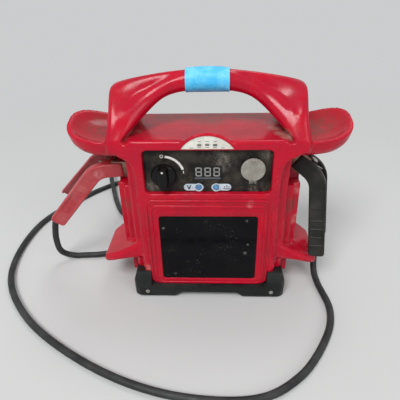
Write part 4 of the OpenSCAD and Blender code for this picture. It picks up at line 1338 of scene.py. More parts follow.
@dataclass
class Leads:
    """The two heavy leads, each one cable from its gland to its clamp."""

    diameter: float = 10.5
    rest_z: float = 5.25
    coil_at: Pair = (11, 168)
    coil_pitch: float = 11.2
    coil_turns: float = 3.75
    coil_inner: float = 42
    coil_steps: int = 40
    climb_from: float = 1.625
    climb_over: float = 0.5
    sides: int = 28
    red_start: tuple[tuple[float, ...], ...] = (
        (-270, 8, 58), (-270, 18, 22), (-246, 28), (-205, 32), (-168, 44), (-140, 72), (-108, 96),
        (-64, 105),
    )
    red_tail: tuple[tuple[float, ...], ...] = (
        (-52, 128, 28), (-52, 104, 50), (-52, 85, 60), (-52, 71, 62), (-52, 58, 62),
    )
    black_route: tuple[tuple[float, ...], ...] = (
        (182, 6, 34), (179, -14, 12), (181, -45), (187, -102), (169, -156), (121, -220), (54, -254),
        (-58, -247), (-174, -201), (-285, -121), (-353, -15), (-358, 130), (-297, 247), (-244, 308),
        (-206, 336), (-196, 372), (-220, 396), (-252, 378, 10), (-252, 332, 20), (-236, 281, 10),
        (-216, 224), (-190, 172, 7), (-150, 138, 22), (-106, 114, 48), (-84, 89, 62), (-84, 71, 62),
        (-84, 58, 62),
    )

    def on_floor(self, points: Iterable[Sequence[float]]) -> list[Vector]:
        """Points whose height is the cable's own where none is given."""
        return [Vector((*p, self.rest_z)[:3]) for p in points]

    def eased(self, points: Sequence[Vector], steps: int) -> list[Vector]:
        """Smooth curve through points that never sinks below the floor."""
        return [Vector((p.x, p.y, max(p.z, self.rest_z))) for p in smooth_path(points, steps)]

    def coil(self) -> list[Vector]:
        """Centre line of the coil, from its outside to its far end.

        Returns:
            Its points.
        """
        count = int(self.coil_turns * self.coil_steps)
        out = []
        for i in range(count + 1):
            u = self.coil_turns * i / count
            r = self.coil_inner + self.coil_pitch * abs(u - self.coil_turns / 2)
            climb = held((u - self.climb_from) / self.climb_over)
            a = math.radians(360 * u - 90)
            x, y = self.coil_at
            z = self.rest_z + self.coil_pitch * climb
            out.append(Vector((x + r * math.cos(a), y + r * math.sin(a), z)))
        return out

    def red_path(self) -> list[Vector]:
        """Whole centre line of the red clamp's lead, from the clamp to the gland.

        Returns:
            Its points.
        """
        head = [AT_RED.world(ARM.lead_point(b)) for b in (-7, 9)]
        turn = self.coil()
        start = head[1:] + [AT_RED.world(ARM.lead_point(15))] + self.on_floor(self.red_start)
        start += [turn[0] - Vector((self.diameter, 0, 0)), turn[0]]
        tail = [turn[-1], turn[-1] - Vector((0, self.diameter, 0))] + self.on_floor(self.red_tail)
        return head[:1] + self.eased(start, 10) + turn[1:-1] + self.eased(tail, 10)

    def black_path(self) -> list[Vector]:
        """Whole centre line of the black clamp's lead, from the clamp to the gland.

        Returns:
            Its points.
        """
        head = [AT_BLACK.world(ARM.lead_point(b)) for b in (-7, 7)]
        route = head[1:] + [AT_BLACK.world(ARM.lead_point(13))] + self.on_floor(self.black_route)
        return head[:1] + self.eased(route, 10)

    def build(self, dresser: Dresser) -> None:
        """Args:
            dresser: Dresser of the pack.
        """
        red_nodes = ["red_lead", "red_lead_coil", "red_lead_tail"]
        for colour, path, stands_for, gland_x in (
            ("red", self.red_path(), red_nodes, -0.052),
            ("black", self.black_path(), ["black_lead"], -0.084),
        ):
            cable = swept(f"{colour}_cable", path, [self.diameter / 2] * len(path), self.sides)
            dresser.fasten(cable, "lead", stands_for=stands_for)
            length = sum((b - a).length for a, b in zip(path, path[1:])) * MM
            LOG.info("%s cable: %.4f m", colour, length)
            [tuple(p * MM) for p in path]


# ---- Case ----


@dataclass
class Handle:
    """Loop handle that swells into its two legs."""

    inner: tuple[Pair, ...] = ((113, 267), (62, 309), (67, 319), (0, 319))
    outer: tuple[Pair, ...] = ((141, 263), (122, 353), (168, 312), (97, 348), (0, 348))
    grip_r: float = 14.5
    leg_depth: float = 60
    roll_r: float = 15.5
    roll_h: float = 7
    roll_from: float = 0.04
    roll_to: float = 0.4
    steps: int = 40
    points: int = 96

    def ring(self, t: float, drop: float = 0, grow: float = 0) -> Ring:
        """Ring of the right half.

        Args:
            t: Place along the half, from 0 at the deck to 1 at the middle of the grip.
            drop: How far the ring is let down.
            grow: How far it is swollen.

        Returns:
            The ring.
        """
        a = bezier(self.inner, t) - Vector((0, drop))
        b = bezier(self.outer, t) - Vector((0, drop))
        mid, half, way = (a + b) / 2, (b - a).length / 2 + grow, (b - a).normalized()
        depth = self.grip_r + (self.leg_depth - self.grip_r) * (1 - t) ** 2.7 + grow
        roll = self.roll_h * smooth_step(self.roll_from, self.roll_to, t)
        radius = min(half, self.roll_r + grow)
        out: Ring = []
        for i in range(self.points):
            q = squircle(half, depth, 2 + 3.5 * (1 - t) ** 2, 2 * math.pi * i / self.points)
            swell = math.copysign(roll * self.bead(q[0] + half, radius), q[1])
            y = q[1] * (1 - roll / depth) + swell
            out.append(Vector((mid.x + way.x * q[0], y, mid.y + way.y * q[0])))
        return out

    def bead(self, across: float, radius: float) -> float:
        """Round face, from 0 to 1, of the roll down the inner edge of a leg."""
        return math.sqrt(max(0.0, 1 - ((across - radius) / radius) ** 2))

    def solid(self) -> bpy.types.Object:
        """Whole handle, its feet sunk in the case."""
        right = [self.ring(0, 16)] + [self.ring(i / self.steps) for i in range(self.steps + 1)]
        return mirrored_loft("handle", right)


@dataclass
class Shells:
    """Red moulded shells: the case with its handle, horns, columns, hood and label rims."""

    half_w: float = 104
    front: float = -61
    rear: float = 61
    bottom: float = 24
    deck: float = 267
    wall: float = 3
    side_steps: Pair = (12, 24)
    face_steps: Pair = (13, 31)
    column_half: float = 20
    column_foot: float = 70
    column_top: float = 184
    reach: float = 139
    groove_d: float = 5.2
    groove_y: Pair = (-7, 7)
    relief: float = 116
    relief_half: float = 31
    horn_root: float = 122
    horn_mid: float = 4
    horn_half: float = 54
    horn_len: float = 84
    horn_under: float = 237
    rim_h: float = 23
    rim_rear: float = 24
    horn_rings: tuple[tuple[float, float, float, float], ...] = (
        (26, 13, 0, 0), (16, 8, 0.06, 0), (5, 3, 0.42, 0), (1, 1, 0.8, 0), (0, 0, 0.97, 0), (2, 2, 1, 0),
        (8, 6, 1, 1), (16, 13, 1, 6.6), (32, 26, 1, 11.04), (54, 42, 1, 12),
    )
    foot_horn_root: float = 100
    foot_horn_len: float = 70
    foot_horn_y: Pair = (-52, 58)
    foot_horn_z: float = 63
    foot_horn_droop: float = 20
    foot_horn_h: Pair = (15, 27)
    hood_chord_z: float = 256
    hood_centre: float = 231.4
    hood_r: float = 43.6
    panel_z: float = 220
    tray: Pair = (184, 72)
    panel_pocket: Pair = (178.6, 66.6)
    panel_hole: Pair = (166, 63)
    label_z: float = 92
    label_pocket: Pair = (146.6, 117.6)
    boss_d: float = 12
    boss_places: tuple[Pair, ...] = (
        (97.5, 56), (-97.5, 56), (97.5, 176), (-97.5, 176), (52, 256), (-52, 256),
    )
    gusset_edge: tuple[Pair, ...] = (
        (262, 139), (253, 137), (247, 130), (241, 119), (235, 110), (226, 106),
    )
    inlet: tuple[float, float, float] = (62, 96, 40.6)
    gland_x: Pair = (-52, -84)
    gland_z: float = 62
    voxel: float = 1.6
    parting: float = 0.15
    handle: Handle = field(default_factory=Handle)

    def case_ring(self, z: float, flare: float, inset: float) -> Ring:
        """Stepped plan of the case at a height.

        Args:
            z: The height.
            flare: How much wider its front is there.
            inset: How far it is drawn in all round.

        Returns:
            The plan as a ring.
        """
        side, face = self.side_steps, self.face_steps
        x1 = self.half_w + flare - inset
        x2 = self.half_w + side[0] + 0.6 * flare - inset
        x3 = self.half_w + side[1] - inset
        y1, y2, y3 = (self.front + step + inset for step in (0, *face))
        q = [
            (x1 - 6, y1), (x1 - 1.8, y1 + 1.8), (x1, y1 + 6), (x1, y2), (x2 - 3, y2), (x2, y2 + 3),
            (x2, y3), (x3, y3),
        ]
        right = q + [(x, -y) for x, y in reversed(q)]
        plan = right + [(-x, -y) for x, y in q] + [(-x, y) for x, y in reversed(q)]
        return [Vector((x, y, z)) for x, y in plan]

    def body(self) -> bpy.types.Object:
        """Case with its flared shoulder.

        Returns:
            The case, solid.
        """
        stages = (
            (self.bottom, 0, 0), (200, 0, 0), (215, 0.7, 0), (230, 2.1, 0), (243, 3.9, 0),
            (254, 5.7, 0), (259, 6, 0), (264, 6, 0.3), (266, 6, 1.2), (self.deck, 6, 3),
        )
        return loft("case", [self.case_ring(*stage) for stage in stages])

    def hollow(self) -> bpy.types.Object:
        """Space inside the case, without the walls behind the lugs.

        Returns:
            The space as a solid.
        """
        stages = ((self.bottom - 1, 0), (200, 0), (243, 3.6), (self.deck - self.wall, 3.6))
        inside = loft("hollow", [self.case_ring(z, flare, self.wall) for z, flare in stages])
        half = self.relief_half + self.wall
        for side in (-1, 1):
            low, high = sorted((side * (self.relief - self.wall), side * 160))
            bottom, top = self.column_top - self.wall, self.horn_under + self.wall
            carve(inside, box("relief_wall", (low, -half, bottom), (high, half, top)))
        return inside

    def rim_z(self, x: float, y: float) -> float:
        """Height of the rim of an upper horn.

        Args:
            x: Distance from the middle of the pack.
            y: Place along the depth, at whose rear the rim is higher.

        Returns:
            The height.
        """
        u = held((x - self.horn_root) / self.horn_len)
        r = held((y + (self.horn_half - self.horn_mid)) / (2 * self.horn_half))
        return self.horn_under + self.rim_h + 4 * r + 3 * u * u + self.rim_rear * r * u**1.6

    def upper_horn(self, side: int) -> bpy.types.Object:
        """Horn with a dished top, on one side.

        Args:
            side: 1 for the right, -1 for the left.

        Returns:
            The horn.
        """
        rings: list[Ring] = []
        arc = 56
        for less_l, less_h, rise, sink in self.horn_rings:
            length, half = self.horn_len - less_l, self.horn_half - less_h
            plan = [(self.horn_root - 8, self.horn_mid - half)]
            for i in range(arc + 1):
                q = squircle(length, half, 2.6, -math.pi / 2 + math.pi * i / arc)
                plan.append((self.horn_root + q[0], self.horn_mid + q[1]))
            plan.append((self.horn_root - 8, self.horn_mid + half))
            heights = [(self.rim_z(x, y) - self.horn_under) * rise for x, y in plan]
            ring = zip(plan, heights)
            rings.append([Vector((side * x, y, self.horn_under + high - sink)) for (x, y), high in ring])
        return loft("upper_horn", finer(rings, 3))

    def lower_horn(self, side: int) -> bpy.types.Object:
        """Drooping horn at the foot of one side.

        Args:
            side: 1 for the right, -1 for the left.

        Returns:
            The horn.
        """
        rings: list[Ring] = []
        steps, r = 24, 4
        tip_h, root_h = self.foot_horn_h
        for i in range(steps + 1):
            u = i / steps
            under = self.foot_horn_z - self.foot_horn_droop * u**2.2
            over = under + tip_h + root_h * (1 - u) ** 3
            y0, y1 = self.foot_horn_y[0] + 14 * u**4, self.foot_horn_y[1] - 14 * u**4
            section = (
                (y0 + r, under), (y1 - r, under), (y1, under + r), (y1, over - r), (y1 - r, over),
                (y0 + r, over), (y0, over - r), (y0, under + r),
            )
            x = side * (self.foot_horn_root + self.foot_horn_len * u)
            rings.append([Vector((x, y, z)) for y, z in section])
        centre = sum(rings[-1], Vector()) / len(rings[-1])
        for out, shrink in ((1.6, 0.85), (3, 0.5)):
            nose: Ring = []
            for p in rings[steps]:
                y = centre.y + (p.y - centre.y) * (0.86 + 0.14 * shrink)
                nose.append(Vector((p.x + side * out, y, centre.z + (p.z - centre.z) * shrink)))
            rings.append(nose)
        return loft("lower_horn", rings)

    def column(self, side: int) -> bpy.types.Object:
        """Rib up the side of the case.

        Args:
            side: 1 for the right, -1 for the left.

        Returns:
            The rib.
        """
        rings: list[Ring] = []
        for x, less in ((120, 0), (self.reach - 2, 0), (self.reach - 0.6, 0.6), (self.reach, 2)):
            half, top = self.column_half - less, self.column_top - less
            foot = self.column_foot
            corners = ((-half, foot), (half, foot), (half, top), (-half, top))
            rings.append([Vector((side * x, y, z)) for y, z in corners])
        return loft("column", rings)

    def lug(self, side: int, grow: float = 0) -> bpy.types.Object:
        """Plate above a column that the clamps bite.

        Args:
            side: 1 for the right, -1 for the left.
            grow: How far it is swollen.

        Returns:
            The plate.
        """
        rings: list[Ring] = []
        low, high = self.column_top - 1 - grow, self.horn_under + 2 + grow
        for x, half in ((114, 4), (137, 4), (138.5, 3.5), (139, 2.5)):
            half += grow
            corners = ((-half, low), (half, low), (half, high), (-half, high))
            rings.append([Vector((side * x, y, z)) for y, z in corners])
        return loft("lug", rings)

    def half_moon(self, grow: float, y: float, drop: float = 0) -> Ring:
        """Segment of a circle over the status window.

        Args:
            grow: How far it is swollen.
            y: Its place along Y.
            drop: How far it is let down.

        Returns:
            The segment as a ring.
        """
        r = self.hood_r + grow
        start = math.asin((self.hood_chord_z - 0.4 * grow - self.hood_centre) / r)
        turns = [start + (math.pi - 2 * start) * i / 48 for i in range(49)]
        return [Vector((r * math.cos(a), y, self.hood_centre - drop + r * math.sin(a))) for a in turns]

    def hood(self) -> bpy.types.Object:
        """Ridge that arches over the status window and runs back into the deck."""
        stages = ((-1.5, 0), (5, 0), (20, 19), (34, 19))
        return loft("hood", [self.half_moon(4, self.front + back, drop) for back, drop in stages])

    def outside(self) -> bpy.types.Object:
        """Outer form of both shells, its joints blended as a mould would have them.

        Returns:
            The form, solid.
        """
        whole = self.body()
        carve(whole, self.handle.solid(), Cut.ADD)
        carve(whole, self.hood(), Cut.ADD)
        for side in (-1, 1):
            for part in (self.upper_horn, self.lower_horn, self.column):
                carve(whole, part(side), Cut.ADD)
            for face in (-1, 1):
                carve(whole, self.gusset(side, face), Cut.ADD)
            low, high = sorted((side * self.relief, side * 156))
            half = self.relief_half
            hole = box("relief", (low, -half, self.column_top), (high, half, self.horn_under))
            carve(hole, self.lug(side, 0.01))
            carve(whole, hole)
            carve(whole, self.lug(side), Cut.ADD)
        apply_step(whole, "REMESH", mode="VOXEL", voxel_size=self.voxel * MM, adaptivity=0.0)
        apply_step(whole, "SMOOTH", factor=0.5, iterations=9)
        for side in (-1, 1):
            for y in self.groove_y:
                carve(whole, self.groove(side, y))
        return whole

    def gusset(self, side: int, face: int) -> bpy.types.Object:
        """Web that carries the foot of a handle's leg down into the corner of the case.

        Args:
            side: 1 for the right, -1 for the left.
            face: 1 for the rear, -1 for the front.

        Returns:
            The web.
        """
        rings: list[Ring] = []
        near, far = face * 36, face * (abs(self.front) - 0.6)
        for z, x in self.gusset_edge:
            corners = ((99, near), (x, near), (x - 1.5, far), (99, far))
            rings.append([Vector((side * a, b, z)) for a, b in corners])
        return loft("gusset", rings)

    def groove(self, side: int, y: float) -> bpy.types.Object:
        """Cutter of one upright groove in a column."""
        return rod("groove", Axis.Z, (side * self.reach, y, 128), self.groove_d, 150, 32)

    def bosses(self, shell: bpy.types.Object, y0: float, y1: float) -> None:
        """Adds the screw posts between two depths."""
        for x, z in self.boss_places:
            carve(shell, bar_y("boss", x, z, self.boss_d, y0, y1, 32), Cut.ADD)

    def front_shell(self, whole: bpy.types.Object) -> bpy.types.Object:
        """Front half, with the panel's recess, the label rims and the window.

        Args:
            whole: The hollow case, which is cut down to the half.

        Returns:
            The shell.
        """
        carve(whole, box("half", (-300, -200, -10), (300, -self.parting, 500)), Cut.KEEP)
        self.bosses(whole, self.front + 1, -self.parting)
        front = self.front
        carve(whole, upright_plate("tray", 0, self.panel_z, self.tray, 9, front + 1, -47), Cut.ADD)
        for name, z, size, step, radius, rise in (
            ("outer_rim", 100, (184, 156), (176.6, 148.6), 12, 2.9),
            ("inner_rim", 96, (172, 148), (163, 139), 10, 3.9),
        ):
            face = front - rise
            carve(whole, upright_plate(name, 0, z, size, radius, face, front + 2, 1.5), Cut.ADD)
            carve(whole, recess(name, 0, z, step, radius - 3, face, face + 1.5, 1.4))
        carve(whole, recess("panel_pocket", 0, self.panel_z, self.panel_pocket, 7, front, -50, 2.6))
        carve(whole, upright_plate("panel_hole", 0, self.panel_z, self.panel_hole, 6, front - 5, -44))
        carve(whole, recess("label_pocket", 0, self.label_z, self.label_pocket, 5, front - 2.6, -62.6, 0.7))
        for name, grow, back in (("window_pocket", 0.3, 1.4), ("window_hole", -3, 14)):
            ends = [self.half_moon(grow, front - 8), self.half_moon(grow, front + back)]
            carve(whole, loft(name, ends))
        whole.name = "front_case"
        return whole

    def rear_shell(self, whole: bpy.types.Object) -> bpy.types.Object:
        """Rear half, with the holes for the inlet, the glands and the screws.

        Args:
            whole: The hollow case, which is cut down to the half.

        Returns:
            The shell.
        """
        carve(whole, box("half", (-300, self.parting, -10), (300, 200, 500)), Cut.KEEP)
        self.bosses(whole, self.parting, self.rear - 1)
        carve(whole, bar_y("inlet_hole", *self.inlet, 49, 66, 96))
        for x in self.gland_x:
            carve(whole, bar_y("gland_hole", x, self.gland_z, 14, 49, 66, 48))
        for x, z in self.boss_places:
            carve(whole, bar_y("screw_sink", x, z, 9, 55, 66, 40))
            carve(whole, bar_y("screw_hole", x, z, 4, 47, 56, 24))
        whole.name = "rear_case"
        return whole

    def build(self, dresser: Dresser) -> None:
        """Makes and dresses both shells.

        Args:
            dresser: Dresser of the pack.
        """
        whole = self.outside()
        carve(whole, self.hollow())
        other = linked("rear_case", whole.data.copy())
        shells = {"front_shell": self.front_shell(whole), "rear_shell": self.rear_shell(other)}
        for node, shell in shells.items():
            shade(shell, 52)
            dresser.fasten(shell, "case_red", stands_for=[node])


@dataclass(frozen=True)
class Relief:
    """Relief of a clamp's outer face, in distances from the start of its grip."""

    ribs: tuple[float, ...]
    rib_w: float
    rib_h: float
    dish: Pair = (0, 0)
    dish_depth: float = 0
    ledge: float = 0
    ledge_h: float = 0
    stud: float = 0


RED_RELIEF = Relief((20, 24, 28, 84, 88.5, 93, 97.5, 102), 1.9, 1.3, (36, 74), 1.3, stud=77)
BLACK_RELIEF = Relief((51, 65, 79, 93), 1.6, 1.1, ledge=31, ledge_h=1.3)


@dataclass
class Clamp:
    """Spring clamp: two moulded halves with jaws, a pin, a spring and the sleeve of its lead."""

    colour: str
    stand: Stand
    relief: Relief
    rim: float = 2.4
    rim_h: float = 0.8
    round_r: float = 2.6
    ear_t: float = 2.2
    ear_r: float = 7
    jaw_l: float = 24
    jaw_top: float = 12.83
    pin_hole: float = 6.16
    spring_r: float = 7
    spring_wire: float = 2
    spring_turns: float = 4
    spring_leg: float = 24
    spring_lean: float = 14
    spring_pitch: float = 2.6
    stud_r: float = 3.2
    sleeve_in: float = 24
    sleeve_l: float = 29

    def face_height(self, grip: float) -> float:
        """Height of the outer face over its plain form.

        Args:
            grip: Distance along the grip.

        Returns:
            The height.
        """
        sunk = between(grip, ((-6, 0), (2, 1), (104, 1), (109, 0)))
        high = -self.rim_h * sunk
        relief = self.relief
        rib_edge = ((relief.rib_w / 2 - 0.25, 1), (relief.rib_w / 2 + 0.25, 0))
        for place in relief.ribs:
            high += relief.rib_h * between(abs(grip - place), rib_edge)
        if relief.ledge:
            at = relief.ledge
            high += relief.ledge_h * between(grip, ((at - 16, 0), (at - 1, 1), (at, 1), (at + 0.7, 0)))
        if relief.dish_depth:
            start, end = relief.dish
            u = held((grip - start) / (end - start))
            high -= relief.dish_depth * math.sin(math.pi * u) ** 1.2
        return high

    def ring(self, at: float) -> Ring:
        """Section of the open channel.

        Args:
            at: Distance along the arm.

        Returns:
            The section as a ring.
        """
        end = ARM.length
        widths = (
            (8, 21.4), (8.6, 23), (9.6, 24.4), (11, ARM.width),
            (end - 6, ARM.width), (end - 2.5, 24.2), (end - 0.8, 22.6), (end, 20.6),
        )
        depths = ((8, 6), (10, 7.5), (24.5, 9), (32, 10), (97, 9.1), (142, 7.9), (171, 7.1), (end, 5))
        falls = ((8, 1), (9, 0.4), (11, 0), (end - 3, 0), (end - 1, 0.5), (end, 1.5))
        w, deep = between(at, widths), between(at, depths)
        out = ARM.outer(at) - between(at, falls)
        if at < self.jaw_l + 1:
            deep = min(deep, out - self.jaw_top - 0.3)
        s, t = w / 2, ARM.wall
        c = min(self.round_r, deep - 0.4)
        grip = at - ARM.grip_start
        face = self.face_height(grip)
        profile: list[Pair] = [(-s, out - deep)]
        for i in range(6):
            a = math.pi / 2 * i / 5
            profile.append((-s + c - c * math.cos(a), out - c + c * math.sin(a)))
        inner = s - max(c, self.rim)
        for i in range(9):
            z = inner * (-1 + i / 4)
            crown = 0.5 * (1 - (z / s) ** 2) - 0.2
            profile.append((z, out + crown + face * between(abs(z), ((inner - 0.9, 1), (inner - 0.1, 0)))))
        for i in range(6):
            a = math.pi / 2 * (1 - i / 5)
            profile.append((s - c + c * math.cos(a), out - c + c * math.sin(a)))
        profile += [(s, out - deep), (s - t, out - deep)]
        profile += [(s - t, out - t - 0.8), (s - t - 0.8, out - t)]
        profile += [(-s + t + 0.8, out - t), (-s + t, out - t - 0.8), (-s + t, out - deep)]
        return [ARM.point(at, y, z) for z, y in profile]

    def stations(self) -> list[float]:
        """Distances along the arm at which the channel has a ring.

        Returns:
            The distances, in rising order.
        """
        out = [8, 8.3, 8.6, 9.1, 9.6, 10.3, 11] + [12 + i * 1.5 for i in range(9)]
        out += [24.6, 25.2, 26, 28, 30]
        at = 32.0
        while at < ARM.length - 3:
            out.append(at)
            at += 1.6 if at < ARM.grip_start - 8 else 0.5
        return out + [ARM.length - back for back in (2.8, 2, 1.4, 0.8, 0.3, 0)]

    def ear(self, z0: float, z1: float) -> bpy.types.Object:
        """Ear that reaches in from a half to the pivot.

        Args:
            z0: Its lower face.
            z1: Its upper face.

        Returns:
            The ear.
        """
        outline = [(25.2, 15.8)]
        for i in range(25):
            a = math.pi * (1 + i / 24)
            outline.append((ARM.pivot + self.ear_r * math.cos(a), self.ear_r * math.sin(a)))
        outline.append((40, 15.8))
        return loft("ear", [[Vector((px, py, z)) for px, py in outline] for z in (z0, z1)])

    def half(self, outer_z: float) -> bpy.types.Object:
        """One moulded half, on the +Y side of the clamp's own frame.

        Args:
            outer_z: Distance of the ears' outer faces from the middle.

        Returns:
            The half.
        """
        shell = loft("half", [self.ring(at) for at in self.stations()])
        for z0 in (-outer_z, outer_z - self.ear_t):
            carve(shell, self.ear(z0, z0 + self.ear_t), Cut.ADD)
        carve(shell, rod("pin_hole", Axis.Z, (ARM.pivot, 0, 0), self.pin_hole, 60, 40))
        if self.relief.stud:
            at = ARM.grip_start + self.relief.stud
            place = ARM.point(at, ARM.outer(at) - 0.5, 0)
            bpy.ops.mesh.primitive_uv_sphere_add(
                segments=32, ring_count=16, radius=self.stud_r * MM, location=place * MM
            )
            bpy.context.object.scale = (1.25, 0.32, 0.85)
            bpy.context.object.rotation_euler = (0, math.radians(ARM.bend_angle), 0)
            carve(shell, settle(), Cut.ADD)
        return shell

    def place(self, obj: bpy.types.Object, mirrored: bool = False) -> bpy.types.Object:
        """Moves a piece from the clamp's own frame to its place.

        Args:
            obj: The piece.
            mirrored: Whether it is mirrored first, as the lever is.

        Returns:
            The piece.
        """
        matrix = self.stand.matrix()
        if mirrored:
            matrix = matrix @ Matrix.Diagonal((1, -1, 1, 1))
        matrix.translation = matrix.translation * MM
        obj.data.transform(matrix)
        if mirrored:
            obj.data.flip_normals()
        return obj

    def spring(self) -> bpy.types.Object:
        """Torsion spring round the pin, with a leg inside each half.

        Returns:
            The spring, in the clamp's own frame.
        """
        sweep = 360 * self.spring_turns - 180 - 2 * self.spring_lean
        steps = 132
        coil = []
        for i in range(steps + 1):
            f = i / steps
            a = math.radians(-90 - self.spring_lean - sweep * f)
            z = self.spring_pitch * sweep / 360 * (f - 0.5)
            x, y = self.spring_r * math.cos(a), self.spring_r * math.sin(a)
            coil.append(Vector((ARM.pivot + x, y, z)))
        lean = math.radians(self.spring_lean)
        reach = Vector((math.cos(lean), -math.sin(lean), 0)) * self.spring_leg
        first = [coil[0] + reach * (1 - i / 6) for i in range(6)]
        reach.y = -reach.y
        last = [coil[-1] + reach * (i + 1) / 6 for i in range(6)]
        path = first + coil + last
        return swept(f"{self.colour}_spring", path, [self.spring_wire / 2] * len(path), 12)

    def sleeve(self) -> bpy.types.Object:
        """Ribbed sleeve that holds the lead inside the body.

        Returns:
            The sleeve, in the clamp's own frame.
        """
        path, radii = [], []
        steps = 58
        for i in range(steps + 1):
            at = self.sleeve_l * i / steps - self.sleeve_in
            path.append(ARM.lead_point(at))
            groove = 0.0
            if at > -8:
                groove = 0.7 * max(0.0, math.sin(2 * math.pi * (at + self.sleeve_in) / 5.2))
            radii.append(ARM.sleeve_r - 0.5 * i / steps - groove)
        tip = ARM.lead_point(5.5)
        return swept(f"{self.colour}_sleeve", [*path, tip], [*radii, 5.4], 40)

    def build(self, dresser: Dresser) -> None:
        """Makes and dresses the pieces of the clamp.

        Args:
            dresser: Dresser of the pack.
        """
        colour = self.colour
        for part, outer_z, mirrored, body in (
            ("body", 12.5, False, "pack"),
            ("lever", 10.0, True, f"{colour}_lever"),
        ):
            half = self.place(self.half(outer_z), mirrored)
            half.name = f"{colour}_{part}_half"
            soften(half, 0.22, 2, 48)
            dresser.fasten(half, f"clamp_{colour}", body, [f"{colour}_clamp_{part}"])
            dresser.refine(f"{colour}_{part}_jaw", f"{colour}_{part}_teeth", "jaw", 0.25, body=body)
        dresser.fasten(self.place(self.spring()), "steel", stands_for=[f"{colour}_clamp_spring"])
        dresser.fasten(self.place(self.sleeve()), "lead", stands_for=[f"{colour}_lead_boot"])
        dresser.refine(f"{colour}_clamp_pin", f"{colour}_pin", "steel", 0.35, 3)


# ---- Panel ----


